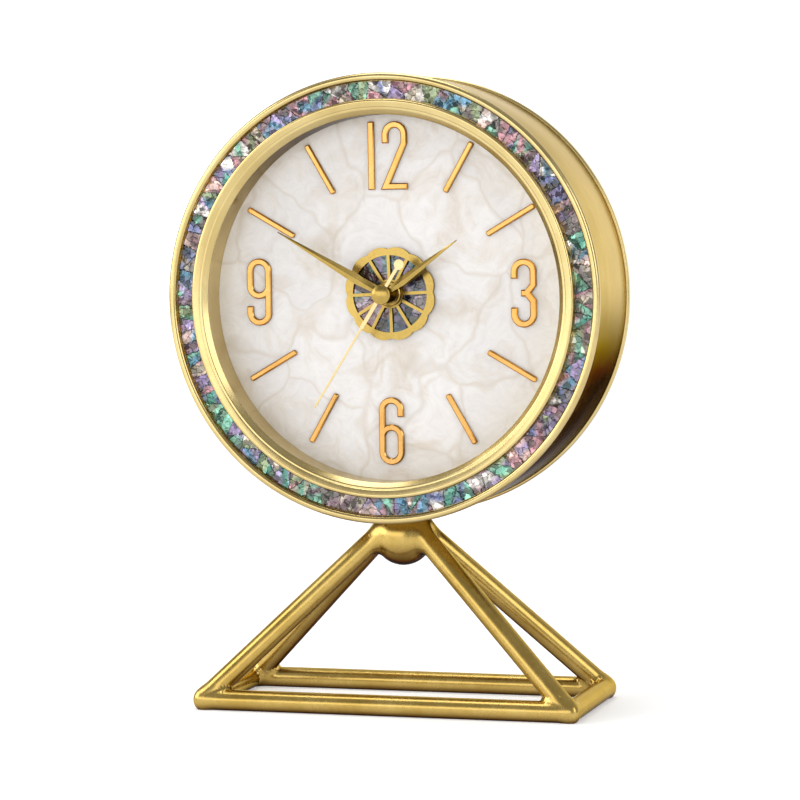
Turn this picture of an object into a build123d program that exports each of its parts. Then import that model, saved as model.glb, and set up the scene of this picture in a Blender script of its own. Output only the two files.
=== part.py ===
from build123d import *
import math
import os

# Desk clock: a shallow brass drum on a stand of welded rods.
# Millimetres. +X is to the right of the dial, +Y to the back, +Z up.
# The origin is on the table, under the middle of the stand.

# Fits shared by all pieces
overrun = 1.0            # how far a cut runs past a face
weld_gap = 0.02          # between two rods that are coped and welded
press_gap = 0.01         # a piece pressed or screwed on another
running_gap = 0.06       # a shaft that turns in a hole
seam_gap = 0.15          # a ring laid beside another ring
bolt_gap = 0.3           # a screw that passes freely through a plate

# Case drum
case_radius = 100.0      # outer radius of the front and back beads
case_depth = 59.0        # from the widest ring of the front bead to the back edge
case_height = 185.3      # case axis above the table
band_inset = 1.2         # band lies this far inside the beads
band_wall = 1.2
flange_setback = 2.0     # front of the flange behind the widest ring of the bead
flange_wall = 1.2
bead_width = 3.6         # front bead, a rod bent to a ring
bead_foot_width = 2.4    # brazing foot behind the bead
back_bead_depth = 4.4
back_bead_round = 1.0    # rounding of its outer edges

# Front inlay and inner moulding
inlay_thickness = 1.1
inlay_width = 7.6        # shell between the bead and the inner moulding
bezel_width = 7.0        # inner moulding, from its outer side to the mouth
bezel_rise = 5.4         # crest of the moulding in front of the flange
bezel_foot_width = 4.7   # part of the moulding that sits on the flange
bezel_lip_width = 1.8    # wall of the moulding's sleeve, which lines the mouth back to the dial
bezel_round_share = 0.12   # rounding of the outer edge, of the moulding's width
bezel_flat_share = 0.66    # inner side of the outer flat, outwards from the mouth
bezel_crest_share = 0.30   # place of the inner crest, outwards from the mouth
bezel_cove_share = 0.17    # depth of the cove between the two, of the width
spacer_wall = 5.0        # ring between the flange and the dial
spacer_gap = 0.2

# Dial, measured behind the widest ring of the front bead
dial_depth = 15.6
dial_rise = 1.9          # dial centre above the case axis
pearl_thickness = 1.2
dial_gap = 0.3           # rim of the dial inside the band
backing_thickness = 2.0
shaft_hole_gap = 0.2     # hole in the dial round the threaded bushing
clip_count = 4
clip_width = 9.0
clip_reach = 6.0         # from the band's wall inwards
clip_thickness = 2.0

# Hour marks
mark_thickness = 1.5
mark_bevel = 0.5         # bevel of the front edges
baton_margin = 4.3       # from the mouth to a baton's outer end
baton_length = 25.2
baton_width = 2.5
numeral_margin = 4.7     # from the mouth to the top of the 12
numeral_height = 30.4
numeral_width = 11.6
numeral_stroke = 2.9
digit_gap = 3.7          # between the digits 1 and 2
two_offset = 2.9         # centre of the digit 2, right of the dial centre
six_shift = 0.4          # the 6 is set this far to the left
nine_shift = 0.6         # the 9 is set this far to the left and this far up
nine_rise = 1.0
hook_share = 0.29        # part of a digit's height down to the end of its hook
two_hook_share = 0.32    # the same for the digit 2
loop_share = 0.60        # part of a digit's height that the closed loop takes
three_waist_share = 0.5
three_notch_share = 0.44
three_bar_share = 0.40

# Rosette at the dial centre
lobe_count = 12
rosette_radius = 21.1
rosette_cusp_depth = 1.1 # notch between two lobes
rosette_rim_width = 3.8  # from a lobe's tip to the windows
rosette_hub_radius = 6.5
rosette_spoke_width = 1.4
rosette_thickness = 1.2
rosette_turn = 2.0       # degrees anticlockwise
shell_disc_lap = 1.2     # shell behind the rim, past the windows
shell_disc_thickness = 0.6

# Threaded bushing that clamps the movement to the dial
bushing_radius = 3.9
bushing_collar_width = 1.6
bushing_collar_thickness = 1.0
bushing_reach = 5.1      # its front end in front of the dial
bushing_washer_width = 2.4
bushing_washer_thickness = 0.5
bushing_nut_wall = 1.7
bushing_nut_thickness = 2.2
bushing_nut_bevel = 0.4

# Nested shafts
second_pin_radius = 0.5
minute_tube_radius = 1.6
hour_pipe_radius = 2.5
tube_end_gap = 0.15      # end of the minute tube inside the front of its nut
pin_end_gap = 0.2        # end of the long pin inside the cap

# Hands, at the time that they show
shown_hour = 1
shown_minute = 50.0
shown_second = 35.4
hour_collet_radius = 4.0
hour_collet_length = 5.0
hour_collet_gap = 1.2    # between the bushing and the collet, along the shaft
hour_shortfall = 10.6    # from the hour hand's tip to the batons
hour_width = 4.0
hour_waist_width = 2.2
minute_collet_radius = 4.0
minute_collet_length = 1.4
minute_overlap = 4.4     # how far the minute hand reaches over the batons
minute_width = 4.6
minute_waist_width = 2.3
hand_gap = 0.4           # between the two collets, along the shaft
blade_edge = 0.3         # thickness of a blade at its edge
blade_ridge = 0.8        # thickness of a blade at its ridge
blade_tip_width = 0.4
blade_widest = 14.0      # distance of the widest place from the shaft
blade_setback = 0.2      # blade behind the front of its collet
minute_nut_radius = 3.2
minute_nut_thickness = 1.0
minute_nut_gap = 0.05
second_overlap = 7.6     # how far the second hand reaches over the batons
second_strip_length = 17.6
second_strip_width = 1.8
second_needle_width = 0.9
second_thickness = 0.4
second_tail_length = 15.8
second_tail_width = 1.5
second_tail_disc_radius = 2.3
second_hub_radius = 2.4
second_lift = 0.3        # second hand in front of the minute nut
cap_radius = 4.3
cap_thickness = 1.5
cap_bevel = 0.4

# Movement housing
movement_wall = 1.5
movement_cover_thickness = 1.2
movement_round = 2.0
washer_thickness = 1.0   # rubber washer between dial and movement
washer_radius = 20.0
battery_radius = 7.25
battery_length = 49.5
battery_nub_radius = 2.6
battery_nub_length = 1.0
battery_gap = 0.3
gear_pocket_gap = 0.9325 # between the hour wheel and the battery's trough
lid_gap = 0.1            # between the crystal and the lid
contact_thickness = 0.4
contact_spring_length = 1.7
contact_width = 9.0
contact_spring_radius = 3.0

# Gear trains: tooth sizes are modules, tooth counts give the ratios
layer_thickness = 1.0    # width of a gear
layer_gap = 0.4          # between two layers of gears
plate_thickness = 0.8    # middle plate
back_plate_thickness = 1.0
arbor_radius = 0.4
motion_arbor_radius = 0.75
motion_module = 0.55
cannon_teeth = 10
motion_teeth = 30
motion_pinion_teeth = 8
hour_teeth = 32
motion_direction = 135.0
going_module = 0.3
second_pinion_teeth = 8
third_teeth = 64
third_pinion_teeth = 8
centre_teeth = 60
third_direction = 45.0
fifth_module = 0.4
second_teeth = 30
fifth_pinion_teeth = 6
rotor_module = 0.3
fifth_teeth = 36
rotor_pinion_teeth = 6
fifth_direction = 90.0
tooth_tip_share = 0.10   # half width of a tooth at its tip, of the pitch
tooth_root_share = 0.26  # half width of a tooth at its root, of the pitch
addendum_share = 0.85    # of the module
dedendum_share = 1.25
rotor_radius = 3.0
rotor_thickness = 2.0
rotor_gap = 0.4

# Step motor, circuit and setting knob
stator_width = 30.0
stator_bar = 2.0
stator_foot = 8.5
stator_window = 3.5
stator_side = 3.0
stator_thickness = 1.0
coil_radius = 2.9
coil_length = 18.0
board_width = 12.0
board_height = 14.0
board_thickness = 0.8
crystal_radius = 1.0
crystal_length = 6.0
knob_radius = 6.0
knob_length = 4.0
knob_rib_count = 24
knob_rib_radius = 0.5
knob_gap = 0.3

# Back cover
cover_thickness = 1.2
cover_setback = 2.0      # back cover inside the back edge
cover_gap = 0.3
cover_hole_radius = 45.0
lug_count = 4
lug_width = 10.0
lug_reach = 9.0
lug_depth = 6.0
screw_radius = 1.5
screw_head_radius = 2.9
screw_head_height = 1.4
screw_length = 6.0
screw_slot = 0.8

# Stand of rods
rod_radius = 4.75
sole_flat = 0.25         # flat ground on the underside of the base
base_half_width = 85.3   # from the middle to the axis of a side rod
base_half_depth = 34.2
ball_radius = 13.5
ball_drop = 9.5          # ball centre below the band
leg_inset = 0.75         # a leg's upper side passes this far inside the ball
stand_bolt_radius = 3.0
stand_bolt_grip = 11.0   # length of thread in the ball
stand_bolt_head = 10.0   # across flats
stand_bolt_head_height = 4.0
saddle_width = 20.0
saddle_thickness = 2.0

# Places that follow from the sizes above
band_radius = case_radius - band_inset
band_inner = band_radius - band_wall
front_y = -case_depth / 2
back_y = case_depth / 2
flange_y = front_y + flange_setback
flange_back_y = flange_y + flange_wall
dial_y = front_y + dial_depth
backing_y = dial_y + pearl_thickness
dial_back_y = backing_y + backing_thickness
dial_height = case_height + dial_rise
bezel_radius = case_radius - bead_width - inlay_width - 2 * seam_gap
mouth_radius = bezel_radius - bezel_width
baton_outer_radius = mouth_radius - baton_margin
baton_inner_radius = baton_outer_radius - baton_length
numeral_radius = mouth_radius - numeral_margin - numeral_height / 2
one_offset = numeral_width / 2 + digit_gap + numeral_stroke / 2 - two_offset
rosette_cusp_radius = rosette_radius - rosette_cusp_depth
rosette_window_radius = rosette_radius - rosette_rim_width
shell_disc_radius = rosette_window_radius + shell_disc_lap
shaft_hole_radius = bushing_radius + shaft_hole_gap
bushing_collar_radius = bushing_radius + bushing_collar_width
hour_length = baton_inner_radius - hour_shortfall
minute_length = baton_inner_radius + minute_overlap
second_length = baton_inner_radius + second_overlap
hour_pipe_reach = bushing_reach + hour_collet_gap + hour_collet_length
minute_collet_reach = hour_pipe_reach + hand_gap + minute_collet_length
minute_nut_reach = minute_collet_reach + minute_nut_gap + minute_nut_thickness
minute_tube_reach = minute_nut_reach - tube_end_gap
second_hand_reach = minute_nut_reach + second_lift + second_thickness
second_pin_reach = second_hand_reach + cap_thickness / 2 - pin_end_gap
movement_y = dial_back_y + washer_thickness
pocket_y = movement_y + movement_wall
layer_pitch = layer_thickness + layer_gap
hour_wheel_y = pocket_y + layer_gap
motion_y = hour_wheel_y + layer_pitch
centre_y = motion_y + layer_pitch
third_y = centre_y + layer_pitch
plate_y = third_y + layer_pitch
second_y = plate_y + plate_thickness + layer_gap
fifth_y = second_y + layer_pitch
rotor_y = fifth_y + layer_pitch
back_plate_y = rotor_y + rotor_thickness + layer_gap
board_y = back_plate_y + back_plate_thickness
crystal_back_y = board_y + board_thickness + 2 * crystal_radius
movement_back_y = crystal_back_y + lid_gap + movement_cover_thickness
movement_depth = movement_back_y - movement_y
hour_wheel_radius = motion_module * (hour_teeth / 2 + addendum_share)
battery_space = 2 * battery_radius + battery_gap + 2 * movement_wall
movement_height = 2 * (battery_space + gear_pocket_gap + hour_wheel_radius)
cell_space = battery_length + battery_nub_length + contact_spring_length + 2 * contact_thickness
movement_width = cell_space + 2 * movement_wall
motion_distance = motion_module * (cannon_teeth + motion_teeth) / 2
third_distance = going_module * (second_pinion_teeth + third_teeth) / 2
centre_module = 2 * third_distance / (third_pinion_teeth + centre_teeth)
fifth_distance = fifth_module * (second_teeth + fifth_pinion_teeth) / 2
rotor_distance = fifth_distance + rotor_module * (fifth_teeth + rotor_pinion_teeth) / 2
rod_height = rod_radius - sole_flat
ball_height = case_height - band_radius - ball_drop


def face_plane(y, height=dial_height):
    """A plane that faces the reader: x right, y up, out of it towards the front."""
    return Plane(origin=(0, y, height), x_dir=(1, 0, 0), z_dir=(0, -1, 0))


def slab(sketch, y_back, thickness, height=dial_height):
    """A flat piece whose back lies at y_back, drawn as seen from the front."""
    return face_plane(y_back, height) * extrude(sketch, amount=thickness)


def polar(radius, degrees):
    """A point of the dial; degrees run anticlockwise from the right."""
    angle = math.radians(degrees)
    return (radius * math.cos(angle), radius * math.sin(angle))


def clock_angle(hours):
    """Direction of an hour mark, in degrees anticlockwise from the right."""
    return 90 - 30 * hours


def rod_between(start, end, radius):
    """A round bar from one point to another."""
    line = Vector(*end) - Vector(*start)
    plane = Plane(origin=start, z_dir=line.normalized())
    middle_up = Align.CENTER, Align.CENTER, Align.MIN
    return plane * Cylinder(radius, line.length, align=middle_up)


def shaft(radius, y_front, y_back, x=0, z=0):
    """A round bar along Y, placed from the dial centre."""
    return slab(Pos(x, z) * Circle(radius), y_back, y_back - y_front)


def gear(teeth, module, phase):
    """A toothed outline; one tooth points at the angle called phase."""
    pitch = 360 / teeth
    tip = module * teeth / 2 + module * addendum_share
    root = module * teeth / 2 - module * dedendum_share
    points = []
    for tooth in range(teeth):
        middle = phase + tooth * pitch
        points.append(polar(root, middle - tooth_root_share * pitch))
        points.append(polar(tip, middle - tooth_tip_share * pitch))
        points.append(polar(tip, middle + tooth_tip_share * pitch))
        points.append(polar(root, middle + tooth_root_share * pitch))
    return make_face(Polyline(*points, close=True))


def make_case_band():
    """Round shell of the drum, with the hole for the stand's bolt."""
    end_y = back_y - back_bead_depth / 2
    ring = Circle(band_radius) - Circle(band_inner)
    shell = slab(ring, end_y, end_y - flange_back_y, case_height)
    bottom = case_height - band_radius
    hole = Pos(0, 0, bottom) * Cylinder(stand_bolt_radius + bolt_gap, 2 * band_inset + 2 * band_wall)
    return shell - hole


def make_front_flange():
    """Flat ring soldered to the front of the band."""
    ring = Circle(band_radius) - Circle(flange_inner_radius())
    return slab(ring, flange_back_y, flange_wall, case_height)


def flange_inner_radius():
    """Inner edge of the front flange, which the inner moulding sits on."""
    return bezel_radius - bezel_foot_width


def make_front_rim():
    """Round bead at the front edge, on a narrow foot."""
    middle = case_radius - bead_width / 2
    half_foot = bead_foot_width / 2
    rod = Pos(middle, front_y) * Circle(bead_width / 2)
    foot_depth = flange_y - front_y
    foot = Pos(middle, front_y + foot_depth / 2) * Rectangle(2 * half_foot, foot_depth)
    return Pos(0, 0, case_height) * revolve(rod + foot, Axis.Y)


def make_back_rim():
    """Band that caps the back edge of the drum, with both its outer edges rounded."""
    inner_y = back_y - back_bead_depth / 2
    outline = make_face(Polyline(
        (band_radius, back_y - back_bead_depth),
        (case_radius, back_y - back_bead_depth),
        (case_radius, back_y),
        (band_inner, back_y),
        (band_inner, inner_y),
        (band_radius, inner_y),
        close=True,
    ))
    corners = outline.vertices().group_by(Axis.X)[-1]
    outline = fillet(corners, min(back_bead_round, back_bead_depth / 3, band_inset))
    return Pos(0, 0, case_height) * revolve(outline, Axis.Y)


def make_shell_inlay():
    """Ring of shell laid on the flange between the bead and the moulding."""
    outer = case_radius - bead_width - seam_gap
    ring = Circle(outer) - Circle(outer - inlay_width)
    return slab(ring, flange_y, inlay_thickness, case_height)


def make_inner_bezel():
    """Moulding round the mouth: a rounded edge, a flat, a cove, and a crest that slopes to the mouth."""
    crest_y = flange_y - bezel_rise
    round_radius = bezel_width * bezel_round_share
    flat_radius = mouth_radius + bezel_width * bezel_flat_share
    inner_crest_radius = mouth_radius + bezel_width * bezel_crest_share
    cove_y = crest_y + bezel_width * bezel_cove_share
    inner_crest_y = crest_y + round_radius / 2
    lip_radius = flange_inner_radius() - seam_gap
    lip_inner = lip_radius - bezel_lip_width
    lip_back_y = dial_y - seam_gap
    path = [
        Line((lip_radius, lip_back_y), (lip_radius, flange_y)),
        Line((lip_radius, flange_y), (bezel_radius, flange_y)),
        Line((bezel_radius, flange_y), (bezel_radius, crest_y + round_radius)),
        RadiusArc(
            (bezel_radius, crest_y + round_radius), (bezel_radius - round_radius, crest_y), -round_radius
        ),
        Line((bezel_radius - round_radius, crest_y), (flat_radius, crest_y)),
        ThreePointArc(
            (flat_radius, crest_y),
            ((flat_radius + inner_crest_radius) / 2, cove_y),
            (inner_crest_radius, inner_crest_y),
        ),
        Line((inner_crest_radius, inner_crest_y), (mouth_radius, flange_y - bezel_rise / 3)),
        Line((mouth_radius, flange_y - bezel_rise / 3), (lip_inner, flange_y)),
        Line((lip_inner, flange_y), (lip_inner, lip_back_y)),
        Line((lip_inner, lip_back_y), (lip_radius, lip_back_y)),
    ]
    outline = make_face(Wire(path))
    return Pos(0, 0, case_height) * revolve(outline, Axis.Y)


def make_dial_spacer():
    """Ring that holds the dial at its depth behind the flange."""
    outer = band_inner - spacer_gap
    ring = Circle(outer) - Circle(outer - spacer_wall)
    return slab(ring, dial_y, dial_y - flange_back_y, case_height)


def make_dial_disc(y_back, thickness):
    """A disc as wide as the case, with the hole for the bushing."""
    disc = Circle(band_inner - dial_gap) - Pos(0, dial_rise) * Circle(shaft_hole_radius)
    return slab(disc, y_back, thickness, case_height)


def make_ring_of_blocks(count, start, width, reach, y_back, depth):
    """Blocks on the inside of the band, their outer faces fitted to it."""
    blocks = []
    bore = Circle(band_inner)
    for index in range(count):
        bar = Pos(band_inner - reach / 2 + overrun / 2, 0) * Rectangle(reach + overrun, width)
        sketch = (Rot(0, 0, start + 360 * index / count) * bar) & bore
        blocks.append(slab(sketch, y_back, depth, case_height))
    return blocks


def make_mark(sketch):
    """A mark laid on the dial, with its front edges bevelled."""
    solid = slab(sketch, dial_y, mark_thickness)
    front = solid.edges().group_by(Axis.Y)[0]
    return chamfer(front, min(mark_bevel, numeral_stroke / 4))


def make_hour_batons():
    """Eight straight bars at the hours that have no numeral."""
    middle = (baton_outer_radius + baton_inner_radius) / 2
    bar = Pos(middle, 0) * RectangleRounded(baton_length, baton_width, baton_width / 3)
    batons = []
    for hour in range(12):
        if hour % 3:
            batons.append(make_mark(Rot(0, 0, clock_angle(hour)) * bar))
    return batons


def stroke(path):
    """A line drawn with the numerals' pen."""
    return trace(path, numeral_stroke)


def centred(sketch, x, y):
    """A digit's sketch, drawn about its own middle, moved to its place on the dial."""
    return Pos(x, y) * sketch


def digit_frame():
    """Half width and half height of a digit's centre line."""
    half_width = (numeral_width - numeral_stroke) / 2
    half_height = (numeral_height - numeral_stroke) / 2
    return half_width, half_height


def make_numeral_12():
    """The digits 1 and 2, as two loose pieces."""
    half_width, half_height = digit_frame()
    one = Rectangle(numeral_stroke, numeral_height)
    hook_y = half_height + numeral_stroke / 2 - two_hook_share * numeral_height
    arch_y = half_height - half_width
    two = stroke([
        Line((-half_width, hook_y), (-half_width, arch_y)),
        ThreePointArc((-half_width, arch_y), (0, half_height), (half_width, arch_y)),
        Line((half_width, arch_y), (half_width, hook_y)),
        Line((half_width, hook_y), (-half_width, -half_height)),
        Line((-half_width, -half_height), (half_width + numeral_stroke / 2, -half_height)),
    ])
    ones = make_mark(centred(one, -one_offset, numeral_radius))
    twos = make_mark(centred(two, two_offset, numeral_radius))
    return [ones, twos]


def make_numeral_3():
    """The digit 3: two hooks that meet in a pinched waist with a short bar."""
    half_width, half_height = digit_frame()
    hook_y = half_height + numeral_stroke / 2 - hook_share * numeral_height
    arch_y = half_height - half_width
    notch_y = numeral_height * (three_waist_share - three_notch_share)
    bar_x = numeral_width * (three_bar_share - three_waist_share)
    three = stroke([
        Line((-half_width, hook_y), (-half_width, arch_y)),
        ThreePointArc((-half_width, arch_y), (0, half_height), (half_width, arch_y)),
        Line((half_width, arch_y), (half_width, 2 * notch_y)),
        Line((half_width, 2 * notch_y), (half_width / 3, 0)),
        Line((half_width / 3, 0), (half_width, -2 * notch_y)),
        Line((half_width, -2 * notch_y), (half_width, -arch_y)),
        ThreePointArc((half_width, -arch_y), (0, -half_height), (-half_width, -arch_y)),
        Line((-half_width, -arch_y), (-half_width, -hook_y)),
        Line((half_width / 3, 0), (bar_x, 0)),
    ])
    return make_mark(centred(three, numeral_radius, 0))


def nine_sketch():
    """The digit 9: a long closed loop on a stem that ends in a hook."""
    half_width, half_height = digit_frame()
    pen = numeral_stroke / 2
    outer_radius = half_width + pen
    inner_radius = half_width - pen
    arch_y = half_height - half_width
    loop_arch_y = half_height + numeral_stroke - loop_share * numeral_height + half_width
    hook_y = half_height + pen - hook_share * numeral_height
    loop_place = Pos(0, (arch_y + loop_arch_y) / 2) * Rot(0, 0, 90)
    loop = loop_place * SlotCenterToCenter(arch_y - loop_arch_y, 2 * outer_radius)
    eye = loop_place * SlotCenterToCenter(arch_y - loop_arch_y, 2 * inner_radius)
    stem = box_between(inner_radius, outer_radius, -arch_y, arch_y)
    hook = box_between(-outer_radius, -inner_radius, -arch_y, -hook_y)
    bow = Pos(0, -arch_y) * (Circle(outer_radius) - Circle(inner_radius))
    bow &= box_between(-outer_radius, outer_radius, -arch_y - outer_radius, -arch_y)
    return loop + stem + bow + hook - eye


def make_rosette():
    """Pierced disc with twelve lobes, twelve spokes and a hub."""
    half_pitch = math.radians(180 / lobe_count)
    reach = rosette_cusp_radius * math.cos(half_pitch)
    lobe_centre = (rosette_radius ** 2 - rosette_cusp_radius ** 2) / (2 * (rosette_radius - reach))
    lobe = Circle(rosette_radius - lobe_centre)
    outline = Circle(rosette_window_radius + rosette_spoke_width)
    window = Circle(rosette_window_radius) - Circle(rosette_hub_radius)
    spoke = Pos(rosette_window_radius / 2, 0) * Rectangle(rosette_window_radius, rosette_spoke_width)
    for index in range(lobe_count):
        angle = rosette_turn + 360 * index / lobe_count
        outline += Rot(0, 0, angle + 180 / lobe_count) * Pos(lobe_centre, 0) * lobe
        window -= Rot(0, 0, angle) * spoke
    plate = outline - window - Circle(shaft_hole_radius)
    return slab(plate, dial_y - shell_disc_thickness, rosette_thickness)


def make_shell_disc():
    """Disc of shell behind the rosette's windows."""
    return slab(Circle(shell_disc_radius) - Circle(shaft_hole_radius), dial_y, shell_disc_thickness)


def make_bushing():
    """Threaded tube of the movement, with a collar behind the dial."""
    front = dial_y - bushing_reach
    body = shaft(bushing_radius, front, pocket_y)
    collar = shaft(bushing_collar_radius, movement_y - bushing_collar_thickness, movement_y)
    bore = shaft(hour_pipe_radius + running_gap, front - overrun, pocket_y + overrun)
    return body + collar - bore


def clamp_face():
    """Front face of the rosette, where the bushing's washer lies."""
    return dial_y - shell_disc_thickness - rosette_thickness


def make_bushing_washer():
    """Plain washer under the nut."""
    ring = Circle(bushing_radius + bushing_washer_width) - Circle(bushing_radius + seam_gap)
    return slab(ring, clamp_face(), bushing_washer_thickness)


def make_bushing_nut():
    """Round nut that clamps rosette, dial and movement together."""
    ring = Circle(bushing_radius + bushing_nut_wall) - Circle(bushing_radius + press_gap)
    nut = slab(ring, clamp_face() - bushing_washer_thickness, bushing_nut_thickness)
    rim = nut.edges().filter_by(GeomType.CIRCLE).group_by(Axis.Y)[0].sort_by(SortBy.RADIUS)[-1]
    return chamfer(rim, bushing_nut_bevel)


def ridged_blade(stations, y_back):
    """A blade with a ridge, from stations of distance, half width and ridge height."""
    sections = []
    for distance, half_width, ridge in stations:
        outline = Polyline(
            (-half_width, 0),
            (half_width, 0),
            (half_width, blade_edge),
            (0, ridge),
            (-half_width, blade_edge),
            close=True,
        )
        plane = Plane(origin=(0, y_back, dial_height + distance), x_dir=(1, 0, 0), z_dir=(0, 0, 1))
        sections.append(plane * mirror(make_face(outline), Plane.XZ))
    return loft(sections, ruled=True)


def at_angle(solid, degrees):
    """A hand drawn upright, turned clockwise about the dial centre."""
    centre = Axis((0, 0, dial_height), (0, 1, 0))
    return solid.rotate(centre, degrees)


def hour_collet_y():
    """Front face of the hour hand's collet."""
    return dial_y - hour_pipe_reach


def minute_collet_y():
    """Front face of the minute hand's collet."""
    return dial_y - minute_collet_reach


def make_hour_hand():
    """Lance blade on a tall collet."""
    front = hour_collet_y()
    collet = shaft(hour_collet_radius, front, front + hour_collet_length)
    blade = ridged_blade([
        (hour_pipe_radius + blade_edge, hour_waist_width / 2, blade_ridge),
        (blade_widest * hour_length / minute_length, hour_width / 2, blade_ridge),
        (hour_length, blade_tip_width / 2, blade_edge + blade_tip_width / 2),
    ], front + blade_setback + blade_ridge)
    bore = shaft(hour_pipe_radius + press_gap, front - overrun, front + hour_collet_length + overrun)
    return at_angle(collet + blade - bore, 30 * shown_hour + shown_minute / 2)


def make_minute_hand():
    """Longer lance blade on a thin collet."""
    front = minute_collet_y()
    back = front + minute_collet_length
    collet = shaft(minute_collet_radius, front, back)
    blade = ridged_blade([
        (minute_tube_radius + blade_edge, minute_waist_width / 2, blade_ridge),
        (blade_widest, minute_width / 2, blade_ridge),
        (minute_length, blade_tip_width / 2, blade_edge + blade_tip_width / 2),
    ], front + blade_setback + blade_ridge)
    bore = shaft(minute_tube_radius + press_gap, front - overrun, back + overrun)
    return at_angle(collet + blade - bore, 6 * shown_minute)


def make_minute_nut():
    """Small nut that holds the minute hand on its tube."""
    y_back = minute_collet_y() - minute_nut_gap
    ring = Circle(minute_nut_radius) - Circle(minute_tube_radius + press_gap)
    return slab(ring, y_back, minute_nut_thickness)


def second_hand_y():
    """Back face of the second hand."""
    return dial_y - minute_nut_reach - second_lift


def make_second_hand():
    """Strip that narrows to a needle, with a tail and its disc."""
    strip = Pos(0, second_strip_length / 2) * Rectangle(second_strip_width, second_strip_length)
    needle_length = second_length - second_strip_length
    needle_middle = second_strip_length + needle_length / 2
    needle = Pos(0, needle_middle) * Rectangle(second_needle_width, needle_length)
    tail = Pos(0, -second_tail_length / 2) * Rectangle(second_tail_width, second_tail_length)
    disc = Pos(0, -second_tail_length) * Circle(second_tail_disc_radius)
    outline = strip + needle + tail + disc + Circle(second_hub_radius)
    outline -= Circle(second_pin_radius + press_gap)
    return at_angle(slab(outline, second_hand_y(), second_thickness), 6 * shown_second)


def make_second_cap():
    """Round cap over the end of the shafts, pressed on the second hand's pin."""
    y_back = second_hand_y() - second_thickness
    cap = shaft(cap_radius, y_back - cap_thickness, y_back)
    front = cap.edges().group_by(Axis.Y)[0]
    cap = chamfer(front, cap_bevel)
    bore = shaft(second_pin_radius + press_gap, y_back - cap_thickness / 2, y_back + overrun)
    return cap - bore


def motion_place():
    """Centre of the motion wheel, seen from the dial centre."""
    return polar(motion_distance, motion_direction)


def third_place():
    """Centre of the third wheel, seen from the dial centre."""
    return polar(third_distance, third_direction)


def fifth_place():
    """Centre of the fifth wheel, seen from the dial centre."""
    return polar(fifth_distance, fifth_direction)


def rotor_place():
    """Centre of the rotor, seen from the dial centre."""
    return polar(rotor_distance, fifth_direction)


def toothed(teeth, module, phase, y_front, place=(0, 0)):
    """A gear one layer wide."""
    return slab(Pos(*place) * gear(teeth, module, phase), y_front + layer_thickness, layer_thickness)


def make_hour_wheel():
    """Hour wheel with its long pipe."""
    wheel = toothed(hour_teeth, motion_module, motion_direction + 180 / hour_teeth, hour_wheel_y)
    wheel_back = hour_wheel_y + layer_thickness
    pipe = shaft(hour_pipe_radius, hour_collet_y(), wheel_back)
    bore = shaft(minute_tube_radius + running_gap, hour_collet_y() - overrun, wheel_back + overrun)
    return wheel + pipe - bore


def make_cannon_pinion():
    """Minute tube with the pinion that drives the motion wheel."""
    tube_back = centre_y + layer_thickness
    pinion = toothed(cannon_teeth, motion_module, motion_direction, motion_y)
    front = dial_y - minute_tube_reach
    tube = shaft(minute_tube_radius, front, tube_back)
    bore = shaft(second_pin_radius + running_gap, front - overrun, tube_back + overrun)
    return pinion + tube - bore


def make_motion_wheel():
    """Motion wheel and pinion on the arbor of the setting knob."""
    inward = motion_direction + 180
    place = motion_place()
    wheel = toothed(motion_teeth, motion_module, inward + 180 / motion_teeth, motion_y, place)
    pinion = toothed(motion_pinion_teeth, motion_module, inward, hour_wheel_y, place)
    knob_back = movement_back_y + knob_gap + knob_length
    arbor = shaft(motion_arbor_radius, pocket_y - movement_wall / 2, knob_back - overrun, *place)
    return wheel + pinion + arbor


def make_centre_wheel():
    """Centre wheel, held on the minute tube by friction."""
    phase = third_direction + 180 / centre_teeth
    wheel = toothed(centre_teeth, centre_module, phase, centre_y)
    bore = shaft(minute_tube_radius + running_gap, centre_y - overrun, third_y)
    return wheel - bore


def make_third_wheel():
    """Third wheel and pinion between the second and the centre wheel."""
    inward = third_direction + 180
    place = third_place()
    wheel = toothed(third_teeth, going_module, inward + 180 / third_teeth, third_y, place)
    pinion = toothed(third_pinion_teeth, centre_module, inward, centre_y, place)
    arbor = shaft(arbor_radius, pocket_y - movement_wall / 2, plate_y + plate_thickness, *place)
    return wheel + pinion + arbor


def make_second_wheel():
    """Second wheel and pinion on the long pin of the second hand."""
    phase = fifth_direction + 180 / second_teeth
    wheel = toothed(second_teeth, fifth_module, phase, second_y)
    pinion = toothed(second_pinion_teeth, going_module, third_direction, third_y)
    pin = shaft(second_pin_radius, dial_y - second_pin_reach, board_y)
    return wheel + pinion + pin


def make_fifth_wheel():
    """Wheel between the rotor and the second wheel."""
    place = fifth_place()
    phase = fifth_direction + 180 / fifth_teeth
    wheel = toothed(fifth_teeth, rotor_module, phase, fifth_y, place)
    pinion = toothed(fifth_pinion_teeth, fifth_module, fifth_direction + 180, second_y, place)
    arbor = shaft(arbor_radius, plate_y, board_y, *place)
    return wheel + pinion + arbor


def make_rotor():
    """Magnet of the step motor with its pinion."""
    place = rotor_place()
    pinion = toothed(rotor_pinion_teeth, rotor_module, fifth_direction + 180, fifth_y, place)
    magnet = shaft(rotor_radius, rotor_y, rotor_y + rotor_thickness, *place)
    arbor = shaft(arbor_radius, plate_y, board_y, *place)
    return pinion + magnet + arbor


def pocket_limits():
    """Left, right, bottom and top of the pocket for the gears."""
    side = movement_width / 2 - movement_wall
    bottom = battery_top() + movement_wall
    return -side, side, bottom, movement_height / 2 - movement_wall


def battery_top():
    """Top of the battery's trough, seen from the dial centre."""
    return 2 * battery_radius + battery_gap - movement_height / 2 + movement_wall


def battery_height():
    """Axis of the battery, seen from the dial centre."""
    return battery_radius - movement_height / 2 + movement_wall


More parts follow.
